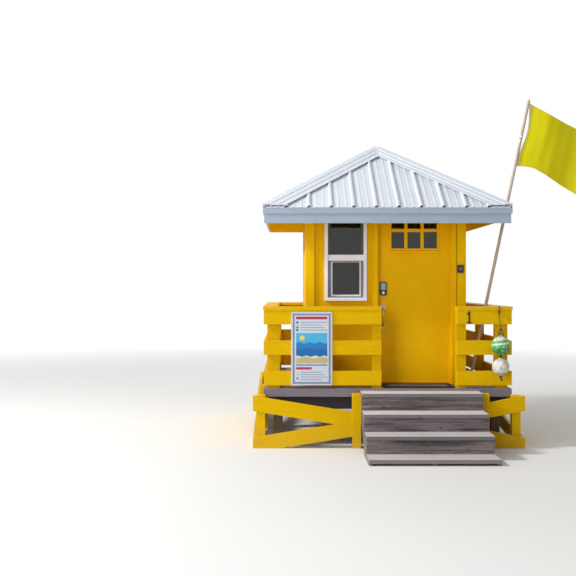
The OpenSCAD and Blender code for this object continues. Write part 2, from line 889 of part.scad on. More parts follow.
// The outer sash stands back from the face of the wall, and the two don't touch
sash_back = 4;
sash_gap = 1;
window_clear_w = window_w - 2 * window_face;
window_clear_h = window_h - 2 * window_face;
sash_h = (window_clear_h + meet_w) / 2;

module at_window() {
    translate([hut_x0 + window_in + window_w / 2, -hut_y, leaf_z1 - window_drop - window_h / 2]) children();
}

// The frame's face with its sill, and the box of the frame in the wall
module window_frame() {
    lap = window_lap + seat;
    sill_y = -trim_t - window_sill_out;
    sill_z = -window_h / 2;
    color("white") at_window() {
        difference() {
            eased_plate(window_w, window_h, trim_t, arris);
            box(-window_clear_w / 2, -trim_t - 1, -window_clear_h / 2, window_clear_w / 2, 1, window_clear_h / 2);
        }
        ring(window_w - 2 * lap, window_h - 2 * lap, window_face - lap, 0, wall_t);
        rotate([90, 0, 90]) linear_extrude(window_w, center = true)
            polygon([[-trim_t / 2, sill_z], [sill_y, sill_z], [sill_y, sill_z + window_sill_h],
                     [-trim_t / 2, sill_z + window_sill_h + (window_sill_out + trim_t / 2) / 4]]);
    }
}

// The upper sash is the outer one, and the lower one slides behind it
module at_sash(s) {
    at_window() translate([0, s * (sash_t + sash_gap) + sash_back, (0.5 - s) * (window_clear_h - sash_h)]) children();
}
function sash_low(s) = -sash_h / 2 + (s == 0 ? meet_w : sash_w);
function sash_high(s) = sash_h / 2 - (s == 0 ? sash_w : meet_w);

module window_sashes() {
    w = window_clear_w / 2 - seat;
    h = sash_h / 2 - seat;
    color("white")
        for (s = [0, 1]) at_sash(s)
            difference() {
                box(-w, 0, -h, w, sash_t, h);
                box(-w + sash_w, -1, sash_low(s), w - sash_w, sash_t + 1, sash_high(s));
            }
}

module window_glass() {
    w = window_clear_w / 2 - sash_w - 2 * seat;
    y = (sash_t - glass_t) / 2;
    color(glass_grey)
        for (s = [0, 1]) at_sash(s)
            box(-w, y, sash_low(s) + seat, w, y + glass_t, sash_high(s) - seat);
}

// Roof

// Strips in plan, board_t wide, where the rafters lie
module rafter_plan(w) {
    reach = min(roof_x, roof_y);
    // Hips
    for (sx = [-1, 1], sy = [-1, 1])
        translate([sx * (roof_x - reach), sy * (roof_y - reach)])
            rotate(atan2(sy, sx)) translate([0, -w / 2]) square([reach * sqrt(2), w]);
    translate([-(roof_x - reach) - w / 2, -(roof_y - reach) - w / 2])
        square([2 * (roof_x - reach) + w, 2 * (roof_y - reach) + w]);
    // Common and jack rafters, each up to the hip that it meets
    for (across = [0, 1]) {
        a = across == 0 ? roof_x : roof_y;
        b = across == 0 ? roof_y : roof_x;
        n = floor(a / rafter_pitch);
        for (i = [-n:n], s = [0, 1]) {
            x = i * rafter_pitch;
            rotate(90 * across) mirror([0, s])
                translate([x - w / 2, -b]) square([w, min(a - abs(x), b)]);
        }
    }
}

module roof_rafters() {
    color("burlywood")
        intersection() {
            roof_shell(-rafter_h - seat, -seat);
            linear_extrude(tall) rafter_plan(board_t);
            inside_fascia();
        }
}

// Boards under the rafters, in one panel to a side
module roof_lining() {
    color(yellow)
        intersection() {
            roof_shell(lining_low_n, lining_top_n);
            inside_fascia();
            four_sides(seat);
        }
}

// The edge of the metal across its ribs, at level z0 over the plane of the sheet
function rib_line(half, z0) = [
    for (i = [-ceil(half / rib_pitch) - 1:ceil(half / rib_pitch) + 1], k = [0:11])
        let (x = (i + 0.5) * rib_pitch,
             third = rib_pitch / 3,
             foot = low_rib_foot / 2,
             top = foot - 5,
             at = [[-rib_foot / 2, 0], [-rib_top / 2, rib_h], [rib_top / 2, rib_h], [rib_foot / 2, 0],
                   [third - foot, 0], [third - top, low_rib_h], [third + top, low_rib_h], [third + foot, 0],
                   [2 * third - foot, 0], [2 * third - top, low_rib_h], [2 * third + top, low_rib_h],
                   [2 * third + foot, 0]][k])
        [x + at[0], z0 + at[1]]];

// One face of the metal roof, with its eave at the front
module roof_face(a, b) {
    length = (b + 50) / cos(pitch);
    top = rib_line(a, sheet_t);
    low = rib_line(a, 0);
    intersection() {
        translate([0, -b, eave_z]) rotate([pitch, 0, 0]) translate([0, length, 0])
            rotate([90, 0, 0]) linear_extrude(length + 50)
                polygon(concat(top, [for (i = [len(low) - 1:-1:0]) low[i]]));
        linear_extrude(tall) polygon(side_plan(a, b, 1.5));
    }
}

// Front and back, then right and left
module roof_sheets() {
    color(metal_white)
        for (turn = [0, 180]) {
            rotate(turn) roof_face(roof_x, roof_y);
            rotate(turn + 90) roof_face(roof_y, roof_x);
        }
}

// The strips in plan that lie within w of the hips
module hip_plan(w) {
    reach = min(roof_x, roof_y);
    for (sx = [-1, 1], sy = [-1, 1])
        translate([sx * (roof_x - reach), sy * (roof_y - reach)]) rotate(atan2(sy, sx))
            translate([-w, -w]) square([reach * sqrt(2) + w, 2 * w]);
}

// Folded caps along the hips in two low steps, cut off flat under the peak
module hip_caps() {
    reach = min(roof_x, roof_y);
    top_n = cap_low_n + 2 * hip_step_h + sheet_t;
    flat_z = plane_z(top_n) + roof_slope * (reach - peak_w / 2);
    color(metal_white) {
        for (i = [0:2])
            intersection() {
                roof_shell(cap_low_n + max(i - 1, 0) * hip_step_h, cap_low_n + i * hip_step_h + sheet_t);
                difference() {
                    linear_extrude(flat_z) hip_plan(hip_cap_w - i * hip_step_w);
                    if (i < 2) linear_extrude(tall) hip_plan(hip_cap_w - (i + 1) * hip_step_w - sheet_t);
                }
            }
        translate([-roof_x + reach - peak_w / 2, -roof_y + reach - peak_w / 2, flat_z - sheet_t])
            cube([2 * (roof_x - reach) + peak_w, 2 * (roof_y - reach) + peak_w, sheet_t]);
    }
}

// The fascia boards, with a strip along their upper part
module fascia() {
    z1 = fascia_z1;
    x = fascia_x;
    y = fascia_y;
    color(grey)
        intersection() {
            difference() {
                union() {
                    box(-x, -y, z1 - fascia_side_h, x, y, z1);
                    box(-x, -y, z1 - fascia_h, x, -y + fascia_t, z1);
                    box(-x - fascia_strip_t, -y - fascia_strip_t, z1 - fascia_strip_h,
                        x + fascia_strip_t, y + fascia_strip_t, z1 - fascia_strip_t * roof_slope);
                }
                box(-x + fascia_t, -y + fascia_t, 0, x - fascia_t, y - fascia_t, tall);
            }
            four_sides(seat);
        }
}

// Sign, bell and mat

module sign_board() {
    color("white")
        translate([-deck_x + sign_in + sign_w / 2, -deck_y, cap_z0 - sign_drop - sign_h / 2])
            rotate([90, 0, 0]) linear_extrude(sign_t) round_rect(sign_w, sign_h, 12);
}

module door_bell() {
    button_t = 3;
    color(black)
        translate([trim_x1 - corner_board_w + bell_w / 2, -trim_y, deck_h + bell_mid]) {
            eased_plate(bell_w, bell_h, bell_d - button_t, arris, 10);
            rotate([90, 0, 0]) cylinder(d = 34, h = bell_d);
        }
}

module door_mat() {
    y1 = -trim_y - 8;
    color(black) translate([door_x, y1 - mat_d / 2, deck_h]) linear_extrude(mat_t) round_rect(mat_w, mat_d, 15);
}

// Floats

// The eye for the rope, on a plate on the edge of the cap
eye_wire_d = 5;
eye_plate = [18, 4, 30];
eye_r = (rope_d + eye_wire_d) / 2 + seat;
eye_y = -deck_y - cap_over - eye_plate[1] - eye_r;
eye_z = cap_z0 + board_t / 2;

// The strap that holds the flag pole to the inner edge of the cap
strap_t = 3;
strap_z = cap_z0 + 4;
strap_h = 30;
strap_ear = 32;

module rail_fittings() {
    y = -deck_y - cap_over;
    edge_x = deck_x + cap_over - cap_w;
    color("silver") {
        translate([rope_x - eye_plate[0] / 2, y - eye_plate[1], eye_z - eye_plate[2] / 2]) cube(eye_plate);
        translate([rope_x, eye_y, eye_z]) rotate_extrude() translate([eye_r, 0]) circle(d = eye_wire_d, $fn = 24);
        difference() {
            intersection() {
                union() {
                    along_pole() cylinder(d = pole_d + 2 * seat + 2 * strap_t, h = rail_h + 50);
                    translate([edge_x - strap_t, -pole_y, strap_z])
                        translate([0, -pole_d / 2 - strap_ear, 0]) cube([strap_t, pole_d + 2 * strap_ear, strap_h]);
                }
                box(0, -tall, strap_z, edge_x, 0, strap_z + strap_h);
            }
            along_pole() cylinder(d = pole_d + 2 * seat, h = rail_h + 100);
        }
    }
}

// The route of the rope, from above the eye out over the floats and down through them
rope_start = eye_z - 30;
rope_bend = float_z1 + float_r1 + rope_straight;
rope_end = float_z2 - float_r2 - rope_tail;
function swing(t) = t * t * (3 - 2 * t);
rope_route = concat(
    [[rope_x, eye_y, eye_z + 30]],
    [for (i = [0:6])
        [rope_x, eye_y + swing(i / 6) * (rope_y - eye_y), rope_start + i / 6 * (rope_bend - rope_start)]],
    [for (i = [1:7]) [rope_x, rope_y, rope_bend + i / 7 * (rope_end - rope_bend)]]);
rope_sides = 10;

// The direction of the rope at one point of its route
function rope_dir(p, i) = let (d = p[min(i + 1, len(p) - 1)] - p[max(i - 1, 0)]) d / norm(d);
function rope_ring(p, i) = let (d = rope_dir(p, i), v = cross(d, [1, 0, 0]))
    [for (k = [0:rope_sides - 1]) let (t = 360 * k / rope_sides)
        p[i] + rope_d / 2 * (cos(t) * [1, 0, 0] + sin(t) * v)];

module float_rope() {
    n = len(rope_route);
    points = [for (i = [0:n - 1]) each rope_ring(rope_route, i)];
    color("tan")
        polyhedron(points, concat(
            [[for (k = [0:rope_sides - 1]) k]],
            [for (i = [0:n - 2], k = [0:rope_sides - 1]) let (a = i * rope_sides, j = (k + 1) % rope_sides)
                [a + k, a + rope_sides + k, a + rope_sides + j, a + j]],
            [[for (k = [rope_sides - 1:-1:0]) (n - 1) * rope_sides + k]]));
}

// A ball with a collar at each end of its bore for the rope
module ball(r, z) {
    out = r + 3;
    translate([rope_x, rope_y, z])
        difference() {
            union() {
                sphere(r);
                cylinder(d = 36, h = 2 * out, center = true);
            }
            cylinder(d = rope_d + 2 * seat, h = 2 * out + 2, center = true);
        }
}

module float_upper() { color("seagreen") ball(float_r1, float_z1); }
module float_lower() { color("white") ball(float_r2, float_z2); }

// Flag

module along_pole() {
    translate([pole_x, -pole_y, deck_h]) rotate([0, pole_lean, 0]) children();
}

module flag_pole() {
    color("burlywood")
        intersection() {
            along_pole() {
                translate([0, 0, -50]) cylinder(d = pole_d, h = pole_l + 50 - pole_d / 2);
                translate([0, 0, pole_l - pole_d / 2]) sphere(d = pole_d);
            }
            box(0, -tall, deck_h, tall, 0, tall);
        }
}

// The height of the flag's lower edge over its corner at the pole, x along the flag
function flag_low(x) = flag_lift * x - (flag_lift + flag_sag)
    * (x < flag_turn ? pow(x, 3) / pow(flag_turn, 2) * (1 - x / flag_turn / 2) : x - flag_turn / 2);

// The flag waves across its own plane, and hangs lower towards its free edge
module flag() {
    n = 16;
    top = pole_l - 40;
    points = [for (i = [0:n])
        let (u = i / n, s = u * flag_fly, x = pole_d / 2 + seat + s, y = flag_wave * sqrt(u) * sin(500 * u),
             z1 = top - flag_droop * s, z0 = top - flag_hoist + flag_low(s))
        each [[x, y - flag_t / 2, z0], [x, y + flag_t / 2, z0], [x, y + flag_t / 2, z1], [x, y - flag_t / 2, z1]]];
    color([0.95, 0.85, 0.05]) along_pole()
        polyhedron(points, concat(
            [[3, 2, 1, 0]],
            [for (i = [0:n - 1], k = [0:3]) let (a = 4 * i, j = (k + 1) % 4) [a + k, a + j, a + 4 + j, a + 4 + k]],
            [[4 * n, 4 * n + 1, 4 * n + 2, 4 * n + 3]]));
}

deck_posts();
deck_frame();
deck_boards();
stair_stringers();
stair_risers();
stair_treads();
brace_posts();
brace_boards();
rail_posts();
rail_front_left();
rail_front_right();
rail_left();
rail_right();
rail_back();
rail_caps();
rail_fittings();
front_wall_left();
front_wall_right();
front_wall_over_door();
side_walls();
back_wall();
corner_boards();
door_frame();
hinge_frame_leaves();
hinge_door_leaves();
door();
door_glass();
door_lock();
door_handle();
window_frame();
window_sashes();
window_glass();
roof_rafters();
roof_lining();
roof_sheets();
hip_caps();
fascia();
sign_board();
door_bell();
door_mat();
float_rope();
float_upper();
float_lower();
flag_pole();
flag();
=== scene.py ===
import random
from math import cos, pi, radians, sin, sqrt, tau

import bmesh
import bpy
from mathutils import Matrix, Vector


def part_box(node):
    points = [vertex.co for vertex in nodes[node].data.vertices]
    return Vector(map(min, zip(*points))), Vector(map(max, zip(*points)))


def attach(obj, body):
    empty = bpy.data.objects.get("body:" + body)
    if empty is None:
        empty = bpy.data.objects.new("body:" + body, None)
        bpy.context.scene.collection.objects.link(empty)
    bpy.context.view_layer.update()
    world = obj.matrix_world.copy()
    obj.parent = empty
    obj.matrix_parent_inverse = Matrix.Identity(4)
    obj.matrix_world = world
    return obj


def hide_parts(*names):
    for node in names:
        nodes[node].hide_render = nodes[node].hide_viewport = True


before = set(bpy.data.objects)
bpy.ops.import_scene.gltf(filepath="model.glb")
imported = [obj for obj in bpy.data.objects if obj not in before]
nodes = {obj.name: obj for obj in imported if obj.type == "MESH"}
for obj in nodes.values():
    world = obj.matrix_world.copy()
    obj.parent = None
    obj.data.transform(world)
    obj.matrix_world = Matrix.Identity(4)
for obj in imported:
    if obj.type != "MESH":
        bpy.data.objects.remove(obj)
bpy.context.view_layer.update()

random.seed(4)

# Camera
# The photograph was taken level, at eye height, in front of the left half of the tower.
# Its horizon lies three pixels above the middle of the picture.
photo_pixels = 576
focal_pixels = 968
horizon_above_middle = 3


def put(name, data):
    """A new object in the scene."""
    made = bpy.data.objects.new(name, data)
    bpy.context.scene.collection.objects.link(made)
    return made


camera = put("camera", bpy.data.cameras.new("camera"))
camera.location = (-1.045, -11.44, 1.69)
camera.rotation_euler = (pi / 2, 0, 0)
camera.data.sensor_width = 36
camera.data.lens = focal_pixels / photo_pixels * camera.data.sensor_width
camera.data.shift_y = -horizon_above_middle / photo_pixels
bpy.context.scene.camera = camera
bpy.context.scene.view_settings.view_transform = "Standard"

# Float rope
# A three-strand rope, 9 mm thick, is tied to an eye on the cap of the right front
# rail. It swings out over the upper float and runs down through both floats.


def linear(red, green, blue):
    """A colour written as it looks on screen, from 0 to 255, as the renderer's own values."""
    def one(v):
        v = max(v, 0) / 255
        return v / 12.92 if v <= 0.04045 else ((v + 0.055) / 1.055) ** 2.4
    return (one(red), one(green), one(blue), 1)


def fill(made, inputs):
    """Links or sets a shader node's inputs. Colours are given as they look on screen."""
    for key, value in inputs.items():
        socket = made.inputs[key]
        if isinstance(value, bpy.types.NodeSocket):
            made.id_data.links.new(value, socket)
        else:
            socket.default_value = linear(*value) if socket.type == "RGBA" else value


def node(owner, kind, inputs=None, **settings):
    """Adds a shader node to the tree that the owner has or belongs to, with its options."""
    made = getattr(owner, "node_tree", owner.id_data).nodes.new("ShaderNode" + kind)
    for key, value in settings.items():
        setattr(made, key, value)
    fill(made, inputs or {})
    return made


def spread(value, low, high, to_low=0.0, to_high=1.0):
    """A value from one range brought into another, and kept inside it."""
    limits = {"Value": value, "From Min": low, "From Max": high, "To Min": to_low, "To Max": to_high}
    return node(value, "MapRange", limits).outputs["Result"]


def noise(place, scale, detail=4.0, roughness=0.6, distortion=0.0):
    """Soft noise over a place."""
    return node(place, "TexNoise", {"Vector": place, "Scale": scale, "Detail": detail, "Roughness": roughness,
                                    "Distortion": distortion}).outputs["Fac"]


def mixed(factor, low, high):
    """One colour turning into another with the factor."""
    return node(factor, "Mix", {"Factor": factor, 6: low, 7: high}, data_type="RGBA").outputs[2]


def relief(height, depth, strength=1.0):
    """A bump, with the depth of its height in metres."""
    return node(height, "Bump", {"Height": height, "Strength": strength, "Distance": depth}).outputs["Normal"]


def new_material(name):
    """An empty material, its Principled BSDF and the object's own coordinates."""
    made = bpy.data.materials.new(name)
    made.use_nodes = True
    place = node(made, "TexCoord").outputs["Object"]
    return made, made.node_tree.nodes["Principled BSDF"], place


def feed(shader, **sockets):
    """Links or sets inputs of the Principled BSDF; an underscore stands for a space."""
    fill(shader, {key.replace("_", " "): value for key, value in sockets.items()})


def mesh_of(name, points, faces, smooth=True):
    """A mesh from its points and faces, with its normals turned outwards."""
    made = bpy.data.meshes.new(name)
    made.from_pydata([tuple(p) for p in points], [], faces)
    shape = bmesh.new()
    shape.from_mesh(made)
    bmesh.ops.recalc_face_normals(shape, faces=shape.faces)
    for face in shape.faces:
        face.smooth = smooth
    shape.to_mesh(made)
    shape.free()
    return made


def add(name, shapes, material, body="tower", smooth=True):
    """Puts a piece into the scene, on its body and with its material; each shape is its points and faces."""
    points, faces = [], []
    for more_points, more_faces in shapes:
        start = len(points)
        points += more_points
        faces += [tuple(start + k for k in face) for face in more_faces]
    piece = put(name, mesh_of(name, points, faces, smooth))
    piece.data.materials.append(material)
    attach(piece, body)
    return piece


def shell(rings, sides, closed=False):
    """Faces that join rings of points one after another. The two ends are covered, or the
    last ring is joined to the first."""
    faces = []
    for i in range(rings if closed else rings - 1):
        a, b = i * sides, (i + 1) % rings * sides
        faces += [(a + k, a + (k + 1) % sides, b + (k + 1) % sides, b + k) for k in range(sides)]
    if not closed:
        faces += [tuple(range(sides - 1, -1, -1)), tuple(range((rings - 1) * sides, rings * sides))]
    return faces


def steps(count):
    """Shares from 0 to 1, both ends included."""
    return [i / count for i in range(count + 1)]


def around(count):
    """The angles of even steps round a circle."""
    return [tau * k / count for k in range(count)]


def carried(path, side=None, closed=False):
    """Each point of a path with two directions across it, carried along without twisting."""
    for i, here in enumerate(path):
        before = path[i - 1] if i or closed else here
        after = path[(i + 1) % len(path)] if i < len(path) - 1 or closed else here
        along = (after - before).normalized()
        if side is None:
            side = along.orthogonal().normalized()
        side = (side - along * side.dot(along)).normalized()
        yield here, side, along.cross(side)


def tube(path, radius, sides=8, closed=False):
    """A round tube along a path."""
    points = [here + (side * cos(t) + other * sin(t)) * radius
              for here, side, other in carried(path, None, closed) for t in around(sides)]
    return points, shell(len(path), sides, closed)


rope_d = 0.009
rope_straight = 0.041
above_eye = 0.03
collar_h = 0.003
swing_steps, drop_steps = 32, 40
upper_low, upper_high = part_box("float_upper")
lower_low, lower_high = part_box("float_lower")
rope_low, rope_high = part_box("float_rope")
rope_x = (upper_low.x + upper_high.x) / 2
rope_y = (upper_low.y + upper_high.y) / 2
eye_y = rope_high.y - rope_d / 2
eye_z = rope_high.z - above_eye
rope_bend = upper_high.z - collar_h + rope_straight
rope_path = [Vector((rope_x, eye_y, rope_high.z))]
for t in steps(swing_steps):
    swing = t * t * (3 - 2 * t)
    z = eye_z - above_eye + t * (rope_bend - eye_z + above_eye)
    rope_path.append(Vector((rope_x, eye_y + swing * (rope_y - eye_y), z)))
rope_path += [Vector((rope_x, rope_y, rope_bend + t * (rope_low.z - rope_bend)))
              for t in steps(drop_steps)[1:]]
rope_length = sum((b - a).length for a, b in zip(rope_path, rope_path[1:]))


def strand(path, start_angle, offset, radius, lay, sides):
    """One strand of a rope: a thin tube that winds round the path once per lay."""
    wound, run, before = [], 0, path[0]
    for here, side, other in carried(path, Vector((1, 0, 0))):
        run += (here - before).length
        before = here
        turn = start_angle + tau * run / lay
        wound.append(here + (side * cos(turn) + other * sin(turn)) * offset)
    return tube(wound, radius, sides)


def finer(path, step):
    """The same path with its points evenly set, no farther apart than a step."""
    result = [path[0]]
    for a, b in zip(path, path[1:]):
        parts = max(1, round((b - a).length / step))
        result += [a + (b - a) * (k / parts) for k in range(1, parts + 1)]
    return result


def two_tone(name, low, high, scale, rough, bump=None, detail=4, **sockets):
    """A material whose colour wanders between two tones with a noise. Rough is a roughness, or
    a noise's scale and the roughness at both its ends, and bump is a noise's scale and
    detail with the depth and the strength of its relief."""
    made, shader, place = new_material(name)
    if isinstance(rough, tuple):
        rough = spread(noise(place, rough[0]), 0, 1, *rough[1:])
    if bump:
        sockets["Normal"] = relief(noise(place, *bump[:2]), *bump[2:])
    feed(shader, Base_Color=mixed(noise(place, scale, detail), low, high), Roughness=rough, **sockets)
    return made


rope_fibre = two_tone("laid rope", (64, 46, 26), (112, 86, 54), 14, (420, 0.8, 0.98), (420, 4, 0.001, 0.5),
                      detail=3)
# Three equal strands round a middle line lie 1.155 of their radius off it
strand_off = 1.155
strand_r = rope_d / 2 / (1 + strand_off)
rope_lay = 0.032
rope_fine = finer(rope_path, 0.0035)
strands = [strand(rope_fine, tau * k / 3, strand_r * strand_off, strand_r, rope_lay, 7) for k in range(3)]
rope = add("rope", strands, rope_fibre)
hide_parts("float_rope")


def coil(centre, radius, turns, thickness, rise):
    """A few turns of rope round a vertical line."""
    spots = [(tau * turns * t, rise * t) for t in steps(int(turns * 20))]
    return tube([centre + Vector((cos(a) * radius, sin(a) * radius, z)) for a, z in spots], thickness / 2)


def knot(centre, size, thickness):
    """A trefoil pulled fairly tight, standing for an overhand knot."""
    bends = [Vector((sin(t) + 2 * sin(2 * t), sin(3 * t) * 1.1, cos(t) - 2 * cos(2 * t))) for t in around(60)]
    return tube([centre + bend * (size / 6) for bend in bends], thickness / 2, closed=True)


between_floats = (upper_low.z + lower_high.z) / 2
tail_top = Vector((rope_x, rope_y, lower_low.z - 0.012))
tail_out, tail_drop, tail_belly, tail_r = 0.020, 0.044, 0.004, 0.0064
tail = [tail_top + Vector((tail_out * t, -0.002, -tail_drop * t - tail_belly * sin(pi * t)))
        for t in steps(8)]
bight_half, bight_h, bight_r = 0.026, 0.076, 0.0042
bight = []
for turn in [pi * t for t in steps(40)]:
    wide = bight_half * cos(turn) * (1 - 0.2 * sin(turn) ** 2)
    high = upper_high.z - 0.004 + bight_h * sin(turn) ** 0.6
    bight.append(Vector((rope_x - wide, rope_y - 0.007, high)))
hitches = add("rope_knots", [
    coil(Vector((rope_x, eye_y, eye_z - 0.052)), rope_d * 0.86, 3.5, rope_d * 0.8, 0.026),
    coil(Vector((rope_x, rope_y, upper_high.z + 0.058)), rope_d * 0.8, 2.5, rope_d * 0.7, 0.016),
    tube(bight, bight_r), knot(tail_top, 0.03, rope_d * 0.9), tube(tail, tail_r),
    knot(Vector((rope_x, rope_y, between_floats)), 0.028, rope_d * 0.9)], rope_fibre)

# Floats
# Two fishing floats of moulded plastic, the upper one white over green and the lower
# one white, each held in a net of thin dark twine that is gathered on the rope.
net_r = 0.001
net_top, net_reach, net_steps = 24, 140, 36


def maths(operation, *values):
    """A Math node and what it gives."""
    owner = next(value for value in values if isinstance(value, bpy.types.NodeSocket))
    return node(owner, "Math", dict(enumerate(values)), operation=operation).outputs[0]


def net(centre, radius, cords, twist, gather):
    """Thin twine laid both ways round a ball, in diamonds, and drawn together above it."""
    strings, top = [], centre + Vector((0, 0, gather))
    for way in (-1, 1):
        for start in around(cords):
            path = []
            for t in steps(net_steps):
                polar, turn = radians(net_top + net_reach * t), start + way * twist * (t - 0.5)
                out = Vector((sin(polar) * cos(turn), sin(polar) * sin(turn), cos(polar)))
                path.append(centre + out * (radius + net_r * 0.9))
            strings += [tube(path, net_r, 5), tube([top + (path[0] - top) * t for t in steps(4)], net_r, 5)]
    return strings


def axes(place):
    """The X, Y and Z of a place, each on its own."""
    return node(place, "SeparateXYZ", {0: place}).outputs


twine = two_tone("dark twine", (92, 84, 62), (148, 136, 108), 90, 0.9, (900, 2, 0.0006, 0.6))
upper_centre = (upper_low + upper_high) / 2
lower_centre = (lower_low + lower_high) / 2
upper_r = (upper_high.x - upper_low.x) / 2
lower_r = (lower_high.x - lower_low.x) / 2
nets = add("float_nets", net(upper_centre, upper_r, 7, 1.9, upper_r + 0.05)
           + net(lower_centre, lower_r, 7, 1.7, lower_r + 0.03), twine)


def finish(paint, *names):
    """Gives CAD nodes their material."""
    for name in names:
        nodes[name].data.materials.clear()
        nodes[name].data.materials.append(paint)


band_tilt = 0.14


def float_paint(name, tones, levels, worn, spots):
    """Worn moulded plastic in tilted bands of colour, scuffed and spotted with old paint."""
    paint, shader, place = new_material(name)
    parts = axes(place)
    height = maths("MULTIPLY_ADD", parts["X"], -band_tilt, parts["Z"])
    height = maths("MULTIPLY_ADD", noise(place, 22, 3), 0.016, height)
    colour = tones[0]
    for level, tone in zip(levels, tones[1:]):
        colour = mixed(spread(height, level, level + 0.002), colour, tone)
    for threshold, scale, tone in spots:
        spot = spread(noise(place, scale, 3), threshold, threshold + 0.04)
        colour = mixed(spot, colour, tone)
    scuff = noise(place, 60, 5, 0.7)
    colour = mixed(spread(scuff, 0.6, 0.74), colour, worn)
    feed(shader, Base_Color=colour, Roughness=spread(scuff, 0.2, 0.8, 0.28, 0.6),
         Normal=relief(scuff, 0.001, 0.15))
    return paint


green, pale_green, cream = (28, 138, 70), (72, 176, 104), (240, 238, 228)
z = upper_centre.z - band_tilt * upper_centre.x
finish(float_paint("green float", (green, pale_green, cream, pale_green, cream),
                   (z - 0.02, z + 0.018, z + 0.034, z + 0.064), (196, 214, 184),
                   ((0.57, 34, (150, 222, 140)), (0.62, 52, (226, 240, 180)), (0.64, 16, (150, 186, 40)))),
       "float_upper")
z = lower_centre.z - band_tilt * lower_centre.x
finish(float_paint("white float", ((214, 206, 188), (236, 232, 226)), (z - 0.05,), (176, 166, 146),
                   ((0.56, 20, (180, 208, 186)), (0.6, 17, (224, 192, 208)),
                    (0.62, 26, (150, 158, 184)), (0.66, 38, (92, 88, 84)))), "float_lower")
tuple(rope_path[0])
[tuple(p) for p in rope_path]

# Flag
# A plain yellow flag of thin nylon, about 1 m long, with a narrow canvas heading that
# is tied to the pole at its two ends and bows away between, and a double hem.
lean = radians(11.9)
pole_low, pole_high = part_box("flag_pole")
pole_r = (pole_high.y - pole_low.y) / 2
pole_foot = Vector((pole_low.x + pole_r / cos(lean), (pole_low.y + pole_high.y) / 2, pole_low.z))
pole_length = (pole_high.z - pole_low.z - pole_r) / cos(lean) + pole_r
pole_side = Vector((cos(lean), 0, -sin(lean)))
pole_up = Vector((sin(lean), 0, cos(lean)))
pole_back = Vector((0, 1, 0))
flag_fly, flag_hoist, flag_wave = 0.98, 0.705, 0.05
flag_wave_turn = radians(440)
flag_columns, flag_rows = 96, 56
flag_top = pole_length - 0.04
flag_droop, flag_lift, flag_sag, flag_turn = 0.21, 0.21, 0.35, 0.3
heading_w = 0.016
heading_bow = 0.036
edge_sag = 0.04
hem_w = 0.016
cloth_t, hem_t, heading_t = 0.0012, 0.0024, 0.0032


def on_pole(x, y, z):
    """A point given in the frame of the leaning pole: beside it, behind it and up it."""
    return pole_foot + pole_side * x + pole_back * y + pole_up * z


def flag_low(s):
    """The height of the lower edge over its corner at the pole, at a distance along the flag."""
    if s < flag_turn:
        bend = s ** 3 / flag_turn ** 2 * (1 - s / flag_turn / 2)
    else:
        bend = s - flag_turn / 2
    return flag_lift * s - (flag_lift + flag_sag) * bend


def cloth(u, v, lift=0.0):
    """A point of the flag: u along it from the pole, v up it, lifted off its middle layer."""
    s = u * flag_fly
    high = flag_top - flag_droop * s - edge_sag * sin(pi * u)
    low = flag_top - flag_hoist + flag_low(s)
    wave = -flag_wave * sqrt(u) * sin(flag_wave_turn * u)
    slant = u * 3.2 + (1 - v) * 0.5
    folds = 0.0025 * min(u * 4, 1) * sin(tau * slant)
    folds += 0.0014 * min(u * 6, 1) * sin(tau * (slant * 2.3 + v))
    bow = heading_bow * max(sin(pi * (v - 0.18) / 0.82), 0) ** 1.5 * (1 - u) ** 4
    return on_pole(pole_r + 0.0003 + s + bow, wave + folds + lift, low + v * (high - low))


def cloth_strip(u0, u1, v0, v1, columns, rows, thickness):
    """A closed sheet over a part of the flag, half its thickness to each side."""
    points = [cloth(u0 + (u1 - u0) * i / columns, v0 + (v1 - v0) * j / rows, side * thickness / 2)
              for side in (-1, 1) for i in range(columns + 1) for j in range(rows + 1)]

    def at(i, j, side):
        return (side * (columns + 1) + i) * (rows + 1) + j
    faces = [(at(i, j, side), at(i + 1, j, side), at(i + 1, j + 1, side), at(i, j + 1, side))
             for side in (0, 1) for i in range(columns) for j in range(rows)]
    faces += [(at(i, j, 0), at(i, j, 1), at(i + 1, j, 1), at(i + 1, j, 0))
              for i in range(columns) for j in (0, rows)]
    faces += [(at(i, j, 0), at(i, j + 1, 0), at(i, j + 1, 1), at(i, j, 1))
              for j in range(rows) for i in (0, columns)]
    return points, faces


nylon, shader, place = new_material("flag nylon")
threads = node(nylon, "TexWave", {"Vector": place, "Scale": 220, "Distortion": 0.4},
               bands_direction="DIAGONAL")
soft = noise(place, 3.2, 3)
feed(shader, Base_Color=mixed(soft, (214, 204, 0), (232, 220, 8)), Roughness=spread(soft, 0, 1, 0.5, 0.7),
     Sheen_Weight=0.05, Specular_IOR_Level=0.2, Normal=relief(threads.outputs["Fac"], 0.0002, 0.35))
canvas, shader, place = new_material("canvas heading")
weave = node(canvas, "TexWave", {"Vector": place, "Scale": 160, "Distortion": 1.0}, bands_direction="Z")
feed(shader, Roughness=0.85, Normal=relief(weave.outputs["Fac"], 0.0004, 0.5),
     Base_Color=mixed(noise(place, 30), (206, 196, 164), (232, 226, 204)))
brass = two_tone("brass", (160, 124, 60), (214, 180, 104), 120, (300, 0.25, 0.45), Metallic=1.0)

